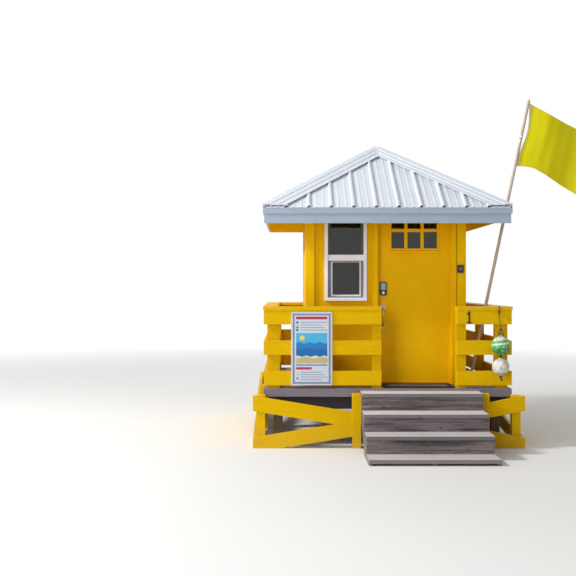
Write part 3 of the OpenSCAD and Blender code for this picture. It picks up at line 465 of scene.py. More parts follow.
flag = add("flag_cloth", [cloth_strip(0, 1, 0, 1, flag_columns, flag_rows, cloth_t)], nylon)
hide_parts("flag")
heading_u, hem_u, hem_v = heading_w / flag_fly, hem_w / flag_fly, hem_w / flag_hoist
heading = add("flag_heading", [cloth_strip(0.0005, heading_u, 0.001, 0.999, 4, flag_rows, heading_t)],
              canvas)
hem = add("flag_hem", [
    cloth_strip(heading_u, 0.9995, 0.0005, hem_v, flag_columns, 2, hem_t),
    cloth_strip(heading_u, 0.9995, 1 - hem_v, 0.9995, flag_columns, 2, hem_t),
    cloth_strip(1 - hem_u, 0.9998, hem_v, 1 - hem_v, 2, 50, hem_t)], nylon)
thread_off, thread_r = 0.0017, 0.0004


def stitches(u0, v0, u1, v1, count):
    """Short stitches of thread on both faces, with gaps between them."""
    return [tube([cloth(u0 + (u1 - u0) * t, v0 + (v1 - v0) * t, face * thread_off)
                  for t in (k / count, (k + 0.6) / count)], thread_r, 4)
            for k in range(count) for face in (-1, 1)]


edge_u, edge_v = hem_u * 0.85, hem_v * 0.85
thread = add("flag_stitches", stitches(heading_u, edge_v, 1 - edge_u, edge_v, 150)
             + stitches(heading_u, 1 - edge_v, 1 - edge_u, 1 - edge_v, 150)
             + stitches(1 - edge_u, edge_v, 1 - edge_u, 1 - edge_v, 100), nylon)


def ring(centre, axis, radius, thickness, turns=24, sides=8):
    """A round ring of wire or twine, lying square to its axis."""
    side = Vector(axis).orthogonal().normalized()
    other = Vector(axis).normalized().cross(side)
    path = [centre + (side * cos(a) + other * sin(a)) * radius for a in around(turns)]
    return tube(path, thickness / 2, sides, closed=True)


tie_levels = (0.015, 0.985)
tie_r = pole_r + 0.0035
eyes = []
ties = []
for v in tie_levels:
    centre = cloth(heading_u / 2, v)
    eyes.append(ring(centre, pole_back, 0.0045, 0.003))
    height = (centre - pole_foot).dot(pole_up)
    loop = []
    for turn in around(40):
        near = ((1 + cos(turn)) / 2) ** 3
        beside = cos(turn) * tie_r + near * (heading_w / 2 - 0.002)
        loop.append(on_pole(beside, sin(turn) * tie_r * (1 - 0.55 * near), height + 0.002 * sin(turn)))
    ties.append(tube(loop, 0.0017, 6, closed=True))
grommets = add("flag_grommets", eyes, brass)
flag_ties = add("flag_ties", ties, canvas)

# Flag pole
# A round pole of varnished pine, 34 mm thick, with a rounded end. It stands on the
# deck and leans on the inner edge of the right cap, where a steel strap holds it.


def new_group(name, inputs, outputs):
    """A shader node group with named sockets; inputs give the kind and the usual value."""
    group = bpy.data.node_groups.new(name, "ShaderNodeTree")
    for key, (kind, value) in inputs.items():
        socket = group.interface.new_socket(key, in_out="INPUT", socket_type="NodeSocket" + kind)
        if value is not None:
            socket.default_value = value
    for key, kind in outputs.items():
        group.interface.new_socket(key, in_out="OUTPUT", socket_type="NodeSocket" + kind)
    return group, group.nodes.new("NodeGroupInput").outputs, group.nodes.new("NodeGroupOutput").inputs


def give(wanted, **sockets):
    """Links what a group gives."""
    for key, value in sockets.items():
        value.id_data.links.new(value, wanted[key])


def use(group, place, **inputs):
    """Places a group in a material, over a place."""
    return node(place, "Group", {"Vector": place, **inputs}, node_tree=group).outputs


def stretched(place, factors):
    """A place drawn out along its axes."""
    return node(place, "VectorMath", {0: place, 1: factors}, operation="MULTIPLY").outputs[0]


# Wood fibre drawn out along one direction, with darker growth rings, checks and knots
grain, given, wanted = new_group(
    "wood grain", {"Vector": ("Vector", None), "Stretch": ("Vector", (1, 14, 14)), "Scale": ("Float", 9)},
    {"Fibre": "Float", "Rings": "Float", "Checks": "Float", "Knots": "Float"})
drawn = stretched(given["Vector"], given["Stretch"])
knot_scale, ring_scale, split_scale = [maths("MULTIPLY", given["Scale"], k) for k in (0.5, 0.16, 1.7)]
cells = node(grain, "TexVoronoi", {"Vector": given["Vector"], "Scale": knot_scale})
give(wanted, Fibre=noise(drawn, given["Scale"], 8, 0.68, 0.25), Rings=noise(drawn, ring_scale, 3, 0.5, 0.9),
     Checks=spread(noise(drawn, split_scale, 2), 0.36, 0.28),
     Knots=spread(cells.outputs["Distance"], 0.1, 0.05))

along_x, along_y, along_z = (1, 16, 16), (16, 1, 16), (16, 16, 1)
varnished, shader, place = new_material("varnished pine")
wood = use(grain, place, Stretch=(26, 26, 1), Scale=6.0)
tone = mixed(wood["Fibre"], (172, 152, 130), (212, 198, 178))
tone = mixed(spread(wood["Rings"], 0.45, 0.7, 0, 0.5), tone, (148, 122, 88))
feed(shader, Base_Color=tone, Roughness=spread(wood["Fibre"], 0, 1, 0.35, 0.55),
     Coat_Weight=0.2, Normal=relief(wood["Fibre"], 0.0006, 0.4))
finish(varnished, "flag_pole")

# Floor and light
# A pale studio floor that fades into an even white surround. Three soft lamps stand in
# for daylight, the strongest high on the left.
floor_reach = 120
floor_corners = [(x * floor_reach, y * floor_reach, 0) for x, y in ((-1, -1), (1, -1), (1, 1), (-1, 1))]
floor = put("floor", mesh_of("floor", floor_corners, [(0, 1, 2, 3)]))


def seen_rays(owner):
    """1 for the rays that look at the background, and 0 for those that light the object."""
    ray = node(owner, "LightPath").outputs
    looking = maths("MAXIMUM", ray["Is Camera Ray"], ray["Is Glossy Ray"])
    return maths("MAXIMUM", looking, ray["Is Transmission Ray"])


floor_paint, shader, place = new_material("floor")
feed(shader, Base_Color=(236, 236, 234), Roughness=0.9)
away = node(floor_paint, "VectorMath", {0: place}, operation="LENGTH").outputs["Value"]
fade = maths("MULTIPLY", spread(away, 4, 15), seen_rays(floor_paint))
glow = node(floor_paint, "Emission").outputs[0]
blend = node(floor_paint, "MixShader", {0: fade, 1: shader.outputs[0], 2: glow}).outputs[0]
fill(floor_paint.node_tree.nodes["Material Output"], {"Surface": blend})
floor.data.materials.append(floor_paint)

world = bpy.data.worlds.new("surround")
world.use_nodes = True
bpy.context.scene.world = world
surround_light = 0.34
fill(world.node_tree.nodes["Background"],
     {"Strength": spread(seen_rays(world), 0, 1, surround_light, 1.0), "Color": (255, 255, 255)})

for lamp_name, stand_at, aim, size, power in (
        ("key", (-10.3, -3.6, 8.4), (0, 0, 1.2), 1.8, 1300),
        ("fill", (-5.5, -10, 4), (0, 0, 1.4), 6, 330),
        ("back", (2, 8, 7), (0, 0, 1.5), 6, 220)):
    lamp = bpy.data.lights.new(lamp_name, "AREA")
    lamp.energy = power
    lamp.size = size
    stand = put(lamp_name, lamp)
    stand.location = stand_at
    stand.rotation_euler = (Vector(aim) - Vector(stand_at)).to_track_quat("-Z", "Y").to_euler()

# Deck
# Pressure-treated boards on joists, beams and posts, under an old coat of lavender
# grey deck paint, with the boards' arrises worn through to silvery wood.

# Where paint or wood has worn along the arrises of a board
edges, given, wanted = new_group(
    "edge wear", {"Vector": ("Vector", None), "Width": ("Float", 0.006), "Reach": ("Float", 0.5)},
    {"Worn": "Float"})
rounded = node(edges, "Bevel", {"Radius": given["Width"]}, samples=4).outputs["Normal"]
flat = node(edges, "NewGeometry").outputs["Normal"]
alike = node(edges, "VectorMath", {0: rounded, 1: flat}, operation="DOT_PRODUCT").outputs["Value"]
spots = spread(noise(given["Vector"], 38, 5, 0.7), 0.42, 0.62)
worn = maths("MULTIPLY", spread(alike, 0.995, 0.8), spots)
give(wanted, Worn=maths("MULTIPLY", worn, given["Reach"]))

# Splashed dirt that fades out over a height; on the door the same mask gives painted shade at its foot
splash, given, wanted = new_group(
    "ground splash", {"Vector": ("Vector", None), "Height": ("Float", 0.25)}, {"Dirt": "Float"})
share = maths("DIVIDE", axes(given["Vector"])["Z"], given["Height"])
reach = maths("SUBTRACT", noise(given["Vector"], 26, 6, 0.7), share)
give(wanted, Dirt=spread(reach, -0.15, 0.5))


def dimmed(tone, share):
    """A colour made lighter or darker as a whole."""
    return node(share, "VectorMath", {0: tone, "Scale": share}, operation="SCALE").outputs[0]


def worn_timber(name, paint_tone, light, dark, stretch, bare, board=None, dirt_height=0.3, upright_shade=1.0,
                shade=None, streak=0.5):
    """Painted or bare weathered wood: how much of the paint is gone goes from 0 to 1, board
    is the axis and the width by which one board after another differs, upright_shade is how
    light the upright faces are painted beside the top ones, as painted shade, shade is a
    height and how light the wood below it is painted, as painted shade, and streak is the
    strength of the dark growth rings."""
    made, shader, place = new_material(name)
    wood = use(grain, place, Stretch=stretch, Scale=9.0)
    tone = mixed(wood["Fibre"], dark, light)
    tone = mixed(spread(wood["Rings"], 0.4, 0.65, 0, streak), tone, dark)
    patch = maths("ADD", noise(place, 3.5, 6, 0.65), wood["Fibre"])
    gone = spread(patch, 1.35 - bare * 0.9, 1.5 - bare * 0.9)
    gone = maths("MAXIMUM", gone, use(edges, place, Width=0.007, Reach=0.75)["Worn"])
    tone = mixed(gone, paint_tone, tone)
    if board:
        axis, width = board
        count = maths("FLOOR", maths("DIVIDE", axes(place)[axis], width))
        chance = node(made, "TexWhiteNoise", {"W": count}, noise_dimensions="1D").outputs["Value"]
        tone = dimmed(tone, spread(chance, 0, 1, 0.86, 1.08))
    # The upright faces are painted darker than the top ones: painted shade.
    if upright_shade < 1:
        upward = axes(node(made, "NewGeometry").outputs["Normal"])["Z"]
        tone = dimmed(tone, spread(upward, 0.3, 0.9, upright_shade, 1))
    # Below the given height the wood is painted darker, as painted shade under the deck.
    if shade:
        level, share = shade
        tone = dimmed(tone, spread(axes(place)["Z"], level - 0.002, level, share, 1))
    knots = maths("MULTIPLY", maths("MULTIPLY", wood["Knots"], gone), 0.7)
    tone = mixed(knots, tone, (56, 42, 38))
    tone = mixed(maths("MULTIPLY", wood["Checks"], 0.75), tone, (58, 50, 48))
    dirt = use(splash, place, Height=dirt_height)["Dirt"]
    tone = mixed(maths("MULTIPLY", dirt, 0.35), tone, (168, 158, 144))
    rough = maths("MULTIPLY_ADD", wood["Checks"], -1.2, wood["Fibre"])
    feed(shader, Base_Color=tone, Specular_IOR_Level=0.25,
         Roughness=spread(wood["Fibre"], 0, 1, 0.62, 0.92), Normal=relief(rough, 0.0015, 0.5))
    return made


def ease(width, *names):
    """Rounds the long arrises of boards a little, as planed timber has them."""
    for name in names:
        weld = nodes[name].modifiers.new("weld", "WELD")
        weld.merge_threshold = 0.00005
        bevel = nodes[name].modifiers.new("eased", "BEVEL")
        bevel.width = width
        bevel.segments = 2
        bevel.limit_method = "ANGLE"
        bevel.angle_limit = radians(50)


deck_low, deck_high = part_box("deck_boards")
deck_rows = 18
board_gap = 0.005
deck_pitch = (deck_high.y - deck_low.y + board_gap) / deck_rows
# The deck boards' upright faces are painted a little darker than their tops, as painted shade.
finish(worn_timber("deck boards", (150, 144, 152), (172, 164, 158), (112, 104, 104), along_x, 0.3,
                   ("Y", deck_pitch), upright_shade=0.8), "deck_boards")
# The deck frame below the rim is painted much darker, as painted shade under the deck.
finish(worn_timber("deck rim", (132, 126, 136), (158, 150, 150), (98, 90, 96), along_x, 0.25,
                   shade=(0.517, 0.3)), "deck_frame")
finish(worn_timber("deck posts", (120, 104, 84), (146, 126, 100), (84, 70, 54), along_z, 0.9), "deck_posts")
ease(0.003, "deck_boards", "deck_frame")


def turned(at, facing, rings, sides, tip=None):
    """A small head that faces a way: its rings are a radius and a height each, from the foot
    up, and tip is the height of a point over its middle."""
    turn = Vector(facing).to_track_quat("Z", "Y").to_matrix()
    points = [Vector(at) + turn @ Vector((cos(a) * r, sin(a) * r, h))
              for r, h in rings for a in around(sides)]
    faces = shell(len(rings), sides)
    if tip:
        last = (len(rings) - 1) * sides
        points.append(Vector(at) + turn @ Vector((0, 0, tip)))
        faces[-1:] = [(last + k, last + (k + 1) % sides, last + sides) for k in range(sides)]
    return points, faces


def screw_heads(places, facing, radius=0.004, rise=0.0012, sides=8):
    """Low domed heads with a sunk middle, all facing one way."""
    rings = [(r * radius, h * rise) for r, h in ((1.0, 0), (0.85, 0.8), (0.45, 1.0), (0.3, 0.6))]
    return [turned(at, facing, rings, sides) for at in places]


front, back, left, right, up = (0, -1, 0), (0, 1, 0), (-1, 0, 0), (1, 0, 0), (0, 0, 1)
dull_steel = two_tone("dull screws", (92, 74, 60), (150, 146, 142), 140, (140, 0.7, 0.45), Metallic=0.6)
joists = 8
joist_t = 0.038
joist_step = (deck_high.x - deck_low.x - joist_t) / (joists - 1)
hut_low, hut_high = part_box("corner_boards")
row_screws = (0.03, deck_pitch - 0.035)
off_line = 0.004
on_deck = []
for row in range(deck_rows):
    for k in range(joists):
        for y in row_screws:
            x = deck_low.x + joist_t / 2 + k * joist_step + random.uniform(-off_line, off_line)
            spot = Vector((x, deck_low.y + row * deck_pitch + y, deck_high.z))
            if not (hut_low.x < spot.x < hut_high.x and hut_low.y < spot.y < hut_high.y):
                on_deck.append(spot)
add("deck_screws", screw_heads(on_deck, up), dull_steel)

# Steps
# Four treads with square nosings on three sawn stringers, closed by rough risers. The
# paint on them has gone, and the wood is silvery on top and brown below; the upright
# faces of the treads are painted darker than their tops, as painted shade.
tread_low, tread_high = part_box("stair_treads")
tread_count = 4
tread_rise, tread_run = 0.174, 0.28
# The treads' upright faces are painted much darker than their tops, as painted shade.
finish(worn_timber("treads", (218, 211, 214), (240, 235, 237), (190, 182, 186), along_x, 0.5,
                   ("Z", tread_rise), upright_shade=0.28), "stair_treads")
finish(worn_timber("risers", (122, 110, 112), (176, 162, 162), (52, 44, 47), along_x, 0.9,
                   ("Z", tread_rise), streak=0.8), "stair_risers")
finish(worn_timber("stringers", (126, 116, 118), (140, 128, 126), (80, 70, 72), along_y, 0.6),
       "stair_stringers")
ease(0.004, "stair_treads")
tread_xs = (tread_low.x + joist_t / 2, (tread_low.x + tread_high.x) / 2, tread_high.x - joist_t / 2)
beside_line, screw_rows = 0.009, (0.05, 0.2)
on_treads = []
for i in range(tread_count):
    top = tread_high.z - (tread_count - 1 - i) * tread_rise
    nosing = tread_high.y - (tread_count - i) * tread_run
    on_treads += [(x + s, nosing + y, top) for x in tread_xs for s in (-beside_line, beside_line)
                  for y in screw_rows]
add("tread_screws", screw_heads(on_treads, up), dull_steel)

# Yellow paint on the rails
# Square posts, three wide boards to a side and a flat cap, all in brushed satin
# yellow, a little chalky, with dirt low down. The screws are painted over.
film, given, wanted = new_group(
    "brushed paint", {"Vector": ("Vector", None), "Stretch": ("Vector", (1, 10, 10)),
                      **{key: ("Color", (1, 1, 1, 1)) for key in ("Tone", "Faded", "Deep")}},
    {"Color": "Color", "Gloss": "Float", "Relief": "Float"})
drawn = stretched(given["Vector"], given["Stretch"])
cloud = noise(given["Vector"], 2.6)
tone = mixed(spread(cloud, 0.35, 0.7), given["Tone"], given["Faded"])
tone = mixed(spread(noise(drawn, 2.2), 0.5, 0.75, 0, 0.55), tone, given["Deep"])
give(wanted, Color=tone, Gloss=spread(cloud, 0, 1, 0.36, 0.56), Relief=noise(drawn, 26, 5))


def yellow_paint(name, stretch, tone=(224, 178, 0), worn=0.5, dirt_height=0.3, dirt_share=0.3,
                 shine=0.06):
    """Brushed satin yellow over wood, with worn arrises and splashed dirt near the ground."""
    made, shader, place = new_material(name)
    red, green, blue = tone
    coat = use(film, place, Stretch=stretch, Tone=tone, Faded=(red + 5, green + 6, blue + 6),
               Deep=(red - 12, green - 15, blue - 10))
    wood = use(grain, place, Stretch=stretch, Scale=9.0)
    colour = mixed(maths("MULTIPLY", wood["Knots"], 0.25), coat["Color"], (196, 146, 10))
    dirt = use(splash, place, Height=dirt_height)["Dirt"]
    colour = mixed(maths("MULTIPLY", dirt, dirt_share), colour, (196, 160, 70))
    bare = use(edges, place, Width=0.004, Reach=worn)["Worn"]
    colour = mixed(bare, colour, (238, 210, 112))
    rough = maths("MULTIPLY_ADD", wood["Fibre"], 0.6, coat["Relief"])
    feed(shader, Base_Color=colour, Roughness=coat["Gloss"], Specular_IOR_Level=shine,
         Normal=relief(rough, 0.0012, 0.35))
    return made


across_paint = yellow_paint("yellow boards", along_x)
side_paint = yellow_paint("yellow side boards", along_y)
# The posts take a darker copy of the rail paint, as painted shade.
shaded_post_paint = yellow_paint("yellow posts in painted shade", along_z, tone=(212, 168, 0))
finish(across_paint, "rail_front_left", "rail_front_right", "rail_back", "rail_caps")
finish(side_paint, "rail_left", "rail_right")
finish(shaded_post_paint, "rail_posts")
ease(0.003, "rail_front_left", "rail_front_right", "rail_back", "rail_left", "rail_right", "rail_caps")

rail_low, rail_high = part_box("rail_front_left")
right_low, right_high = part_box("rail_front_right")
_, back_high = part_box("rail_back")
cap_low, cap_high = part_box("rail_caps")
rail_board_w, rail_pitch, screw_inset = 0.15, 0.319, 0.035
board_tops = [rail_high.z - i * rail_pitch for i in range(3)]
screw_zs = [top - z for top in board_tops for z in (screw_inset, rail_board_w - screw_inset)]
corner_xs = [rail_low.x + 0.07, rail_low.x + 0.13, right_high.x - 0.13, right_high.x - 0.07]
front_xs = corner_xs + [rail_high.x - 0.075, rail_high.x - 0.03, right_low.x + 0.03, right_low.x + 0.075]
back_xs = corner_xs + [-0.025, 0.025]
side_ys = [y + s for y in (rail_low.y + 0.085, 0, back_high.y - 0.085) for s in (-0.025, 0.025)]
cap_middle = 0.07
on_caps = [(x, cap_low.y + cap_middle) for x in front_xs] + [(x, cap_high.y - cap_middle) for x in back_xs]
on_caps += [(x, y) for x in (cap_low.x + cap_middle, cap_high.x - cap_middle) for y in side_ys]
screw_paint = yellow_paint("yellow screws", along_x, worn=0, dirt_share=0)


def on_four_sides(xs, ys, front_at, back_at, side_at, **size):
    """Heads on the outer faces at two X and two Y, at places in X and Z in front and behind
    and at places in Y and Z on both sides."""
    return (screw_heads([(x, ys[0], z) for x, z in front_at], front, **size)
            + screw_heads([(x, ys[1], z) for x, z in back_at], back, **size)
            + screw_heads([(xs[0], y, z) for y, z in side_at], left, **size)
            + screw_heads([(xs[1], y, z) for y, z in side_at], right, **size))


rail_rows = [[(at, z) for at in places for z in screw_zs] for places in (front_xs, back_xs, side_ys)]
add("rail_screws", on_four_sides((rail_low.x, right_high.x), (rail_low.y, back_high.y), *rail_rows)
    + screw_heads([(x, y, cap_high.z) for x, y in on_caps], up), screw_paint)

# Skirt braces
# Wide boards in flat V shapes between short posts, held by painted-over screws, in
# the same yellow, splashed with pale dust low down.
brace_low, brace_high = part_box("brace_boards")
finish(yellow_paint("yellow braces", along_x, dirt_height=0.4, worn=0.7), "brace_boards")
finish(yellow_paint("yellow brace posts", along_z, dirt_height=0.4, worn=0.7), "brace_posts")
ease(0.003, "brace_boards", "brace_posts")

zinc, shader, place = new_material("galvanised steel")
spangle = node(zinc, "TexVoronoi", {"Vector": place, "Scale": 160}).outputs["Color"]
spangle = node(zinc, "SeparateColor", {0: spangle}).outputs[0]
feed(shader, Base_Color=mixed(spangle, (150, 152, 154), (196, 198, 200)), Metallic=0.9,
     Roughness=spread(spangle, 0, 1, 0.35, 0.6), Normal=relief(noise(place, 200), 0.0005, 0.3))
finish(zinc, "rail_fittings")


def domes(places, facing, radius, rise):
    """Round heads, higher in the middle."""
    rings = [(r * radius, h * rise) for r, h in ((1.0, 0), (0.96, 0.3), (0.8, 0.68), (0.5, 0.93))]
    return [turned(at, facing, rings, 12, rise) for at in places]


v_line, v_spread, v_narrow = 0.248, 0.217, 0.049
brace_t, brace_post_w = 0.038, 0.089
post_middle = brace_high.x - brace_t - brace_post_w / 2


def fixings(distance, narrow_at, narrow=v_narrow):
    """The heights of four screws through a V at a post, two in each board."""
    off = narrow + (distance - narrow_at) / (brace_high.x - narrow_at) * (v_spread - narrow)
    return [v_line + way * (off + s) for way in (-1, 1) for s in (-0.024, 0.024)]


left_narrow, right_narrow, right_gap = 0.379, 1.039, 0.148
front_spots = [(-post_middle, z) for z in fixings(post_middle, left_narrow)]
front_spots += [(post_middle, z) for z in fixings(post_middle, right_narrow, right_gap)]
middle_spots = [(s, z) for s in (-0.022, 0.022) for z in (v_line - 0.06, v_line + 0.06)]
back_spots = [(s * post_middle, z) for s in (-1, 1) for z in fixings(post_middle, 0)] + middle_spots
side_post = brace_high.y - brace_t - brace_post_w / 2
side_spots = [(s * side_post, z) for s in (1, -1) for z in fixings(side_post, 0)] + middle_spots
brace_xs, brace_ys = (brace_low.x, brace_high.x), (brace_low.y, brace_high.y)
add("brace_screws", on_four_sides(brace_xs, brace_ys, front_spots, back_spots, side_spots, radius=0.0065,
                                  rise=0.0008, sides=10), screw_paint)

# House number
# One plain black numeral, cast 4 mm thick and 126 mm high, is screwed to the top board
# of the right front rail.


def prism(outline, y0, y1):
    """A flat shape drawn in X and Z, from one depth to another."""
    return [Vector((x, y, z)) for y in (y0, y1) for x, z in outline], shell(2, len(outline))


black_metal = two_tone("black cast numeral", (18, 17, 17), (38, 36, 36), 60, 0.5, (400, 4, 0.0004, 0.4),
                       Metallic=0.3)
number_x, number_h, number_t = 0.853, 0.126, 0.004
number_z = right_high.z - rail_board_w / 2
half = number_h / 2
numeral = [(-0.024, -half), (0.024, -half), (0.024, -half + 0.013), (0.0095, -half + 0.013), (0.0095, half),
           (-0.001, half), (-0.012, half - 0.017), (-0.026, half - 0.027), (-0.026, half - 0.04),
           (-0.0075, half - 0.032), (-0.0075, -half + 0.013), (-0.024, -half + 0.013)]
numeral = [(number_x + x, number_z + z) for x, z in numeral]
add("house_number", [prism(numeral, right_low.y - number_t, right_low.y)], black_metal,
    smooth=False)
number_screws = [(number_x, right_low.y - number_t, number_z + s * (half - 0.028)) for s in (-1, 1)]
add("house_number_screws", screw_heads(number_screws, front, 0.0035), black_metal)

# Hut walls
# Smooth painted sheets on a timber frame, nailed at their edges, with planed corner
# boards. A sheet is 1.2 m wide, so each side and the back has one upright joint.


def block(low, high, bevel, segments=2):
    """A box with rounded arrises."""
    shape = bmesh.new()
    bmesh.ops.create_cube(shape, size=1)
    low, high = Vector(low), Vector(high)
    for vert in shape.verts:
        vert.co = Vector([low[i] + (vert.co[i] + 0.5) * (high[i] - low[i]) for i in range(3)])
    bmesh.ops.bevel(shape, geom=shape.edges[:], offset=bevel, segments=segments, profile=0.6,
                    affect="EDGES")
    shape.verts.index_update()
    points = [vert.co.copy() for vert in shape.verts]
    faces = [tuple(v.index for v in face.verts) for face in shape.faces]
    shape.free()
    return points, faces


wall_paint = yellow_paint("yellow walls", along_z, tone=(230, 175, 0), worn=0.2, dirt_height=0.2)
finish(wall_paint, "front_wall_left", "front_wall_right", "front_wall_over_door", "back_wall", "side_walls")
trim_paint = yellow_paint("yellow trim", along_z, tone=(238, 188, 0), worn=0.4, dirt_height=0.2)
finish(trim_paint, "corner_boards", "door_frame")
wall_low, wall_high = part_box("side_walls")
front_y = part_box("front_wall_left")[0].y
back_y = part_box("back_wall")[1].y
corner_w = 0.095
sheet_t, sheet_w, sheet_gap, sheet_bevel = 0.003, 1.22, 0.003, 0.001
wall_x0, wall_x1 = wall_low.x, wall_high.x
sheet_z0, sheet_z1 = deck_high.z + 0.012, 2.60
beside_corner = corner_w + 0.001
inner_x0, inner_x1 = hut_low.x + beside_corner, hut_high.x - beside_corner
inner_y0, inner_y1 = hut_low.y + beside_corner, hut_high.y - beside_corner
joint_x = wall_x1 - sheet_w
joint_y = front_y + sheet_w
sheet_boxes = [(x0, x1, back_y, back_y + sheet_t)
               for x0, x1 in ((inner_x0, joint_x - sheet_gap), (joint_x, inner_x1))]
for y0, y1 in ((inner_y0, joint_y), (joint_y + sheet_gap, inner_y1)):
    sheet_boxes += [(wall_x0 - sheet_t, wall_x0, y0, y1), (wall_x1, wall_x1 + sheet_t, y0, y1)]
sheets = [block((x0, y0, sheet_z0), (x1, y1, sheet_z1), sheet_bevel, 1) for x0, x1, y0, y1 in sheet_boxes]
add("wall_sheets", sheets, wall_paint, smooth=False)

nail_inset, nail_step = 0.012, 0.152
nail_zs = [sheet_z0 + 0.06 + i * nail_step for i in range(13)]
nail_xs = [inner_x0 + nail_inset, joint_x - nail_inset - 0.002, joint_x + nail_inset, inner_x1 - nail_inset]
nail_ys = [inner_y0 + nail_inset, joint_y - nail_inset, joint_y + nail_inset + 0.002, inner_y1 - nail_inset]
window_low, window_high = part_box("window_frame")
frame_low, frame_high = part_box("door_frame")
trim_xs = (hut_low.x + 0.02, hut_low.x + 0.075, hut_high.x - 0.02, frame_low.x + 0.025, frame_high.x - 0.025)
trim_nails = [(x, hut_low.y, z + 0.04) for x in trim_xs for z in nail_zs[::2]]
front_nails = [(x, z) for x in (inner_x0 + nail_inset, frame_low.x - nail_inset) for z in nail_zs]
front_nails += [(x, window_low.z - 0.03) for x in (window_low.x + 0.05, window_high.x - 0.05)]
back_nails, side_nails = [[(at, z) for at in places for z in nail_zs] for places in (nail_xs, nail_ys)]
nail = {"radius": 0.0032, "rise": 0.0008}
add("wall_nails", screw_heads(trim_nails, front, **nail) + on_four_sides(
    (wall_x0 - sheet_t, wall_x1 + sheet_t), (front_y, back_y + sheet_t), front_nails, back_nails, side_nails,
    **nail), wall_paint)

# Roof
# Pale factory-coated steel with standing ribs, stepped caps over the hips, and hex
# screws on washers. Below are timber rafters behind a boarded yellow soffit.
coated, shader, place = new_material("roof metal")
haze = noise(place, 3, 5)
streak = noise(stretched(place, (9, 9, 1)), 1.6, 5)
tone = mixed(haze, (212, 219, 229), (226, 232, 240))
tone = mixed(spread(streak, 0.55, 0.8, 0, 0.35), tone, (184, 190, 200))
feed(shader, Base_Color=tone, Roughness=spread(haze, 0, 1, 0.3, 0.48), Specular_IOR_Level=0.6,
     Normal=relief(noise(place, 11, 2), 0.004, 0.1))
finish(coated, "roof_sheets", "hip_caps")
finish(worn_timber("rafters", (196, 166, 120), (206, 176, 130), (160, 126, 84), along_x, 0.9), "roof_rafters")

roof_low, roof_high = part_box("roof_sheets")
roof_half = roof_high.x
roof_slope = 0.61
slope_length = sqrt(1 + roof_slope ** 2)
sheet_top = 0.004
eave_z = roof_low.z
rib_pitch, rib_h = 0.236, 0.019
cap_wing = 0.172


def turned_round(at, quarters):
    """A point turned round the hut's middle by quarter turns."""
    for _ in range(quarters):
        at = Vector((-at.y, at.x, at.z))
    return at


def on_roof(quarters, across, in_from_eave, above):
    """A point over one of the four roof planes, and that plane's normal."""
    normal = Vector((0, -roof_slope, 1)) / slope_length
    at = Vector((across, -roof_half + in_from_eave, eave_z + in_from_eave * roof_slope)) + normal * above
    return turned_round(at, quarters), turned_round(normal, quarters)


def hex_screw(at, facing, size=0.0045, washer=0.008):
    """A hexagonal head on a domed washer."""
    return [turned(at, facing, ((washer, 0), (washer * 0.92, 0.0018), (size * 1.25, 0.0026)), 12),
            turned(at, facing, ((size, 0.002), (size, 0.0066), (size * 0.7, 0.0076)), 6)]


rib_lines = [(i + 0.5) * rib_pitch for i in range(-6, 6)]
beside_rib, in_from_hip, clear_of_cap = 0.034, 0.025, 0.02
pan_rows = (0.035, 0.42, 0.80)
cap_rows = [0.05 + rib_pitch * k for k in range(5)]
cap_top = sheet_top + rib_h + 0.0043
roof_screws = []
for turn in range(4):
    for x in [line + beside_rib for line in rib_lines]:
        for row in pan_rows:
            if abs(x) < roof_half - row - cap_wing - clear_of_cap:
                roof_screws += hex_screw(*on_roof(turn, x, row, sheet_top))
    for row in cap_rows:
        x = roof_half - row - cap_wing + in_from_hip
        if x > 0.05:
            for way in (-1, 1):
                roof_screws += hex_screw(*on_roof(turn, way * x, row, cap_top))
add("roof_screws", roof_screws, coated, smooth=False)

soffit_paint = yellow_paint("yellow soffit", along_x, tone=(226, 174, 0), worn=0.1, shine=0)
finish(soffit_paint, "roof_lining")
lining_below = 0.1226
soffit_out, soffit_in, soffit_w, soffit_gap = 1.266, 0.8965, 0.09, 0.005
soffit_t, hip_gap = 0.003, 0.002
soffit_top = eave_z - lining_below * slope_length
strips = []
for turn in range(4):
    for row in range(4):
        outer = soffit_out - row * (soffit_w + soffit_gap)
        inner = max(outer - soffit_w, soffit_in)
        points = []
        for drop in (0, soffit_t):
            for d, way in ((outer, -1), (outer, 1), (inner, 1), (inner, -1)):
                z = soffit_top + (roof_half - d) * roof_slope - drop
                points.append(turned_round(Vector((way * (d - hip_gap), -d, z)), turn))
        strips.append((points, shell(2, 4)))
add("soffit_boards", strips, soffit_paint, smooth=False)

# Fascia
# Planed boards round the eaves, in blue-grey paint, with a thinner strip nailed along
# their upper part.
fascia_paint, shader, place = new_material("fascia paint")
coat = use(film, place, Stretch=along_x, Tone=(158, 172, 190), Faded=(166, 178, 194), Deep=(150, 164, 184))
bare = use(edges, place, Width=0.005, Reach=0.6)["Worn"]
feed(shader, Base_Color=mixed(bare, coat["Color"], (226, 228, 222)), Roughness=coat["Gloss"],
     Normal=relief(coat["Relief"], 0.001, 0.3))
finish(fascia_paint, "fascia")
ease(0.002, "fascia")
fascia_low, fascia_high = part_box("fascia")
strip_step = 0.012
fascia_xs = [-1.2 + 0.3 * k for k in range(9)]
fascia_nails = [(x, fascia_low.y - 0.0001, fascia_high.z - 0.05) for x in fascia_xs]
fascia_nails += [(x, fascia_low.y + strip_step, fascia_low.z + 0.025) for x in fascia_xs]
add("fascia_nails", screw_heads(fascia_nails, front, **nail), fascia_paint)

# Door
# A smooth steel-faced leaf with a light of six panes over a small ledge, in a wooden
# frame, hung on three butt hinges inside, with a keypad lock and a pull handle.
door_paint, shader, place = new_material("door paint")
coat = use(film, place, Stretch=(4, 4, 1.5), Tone=(240, 184, 0), Faded=(244, 190, 0), Deep=(232, 175, 0))
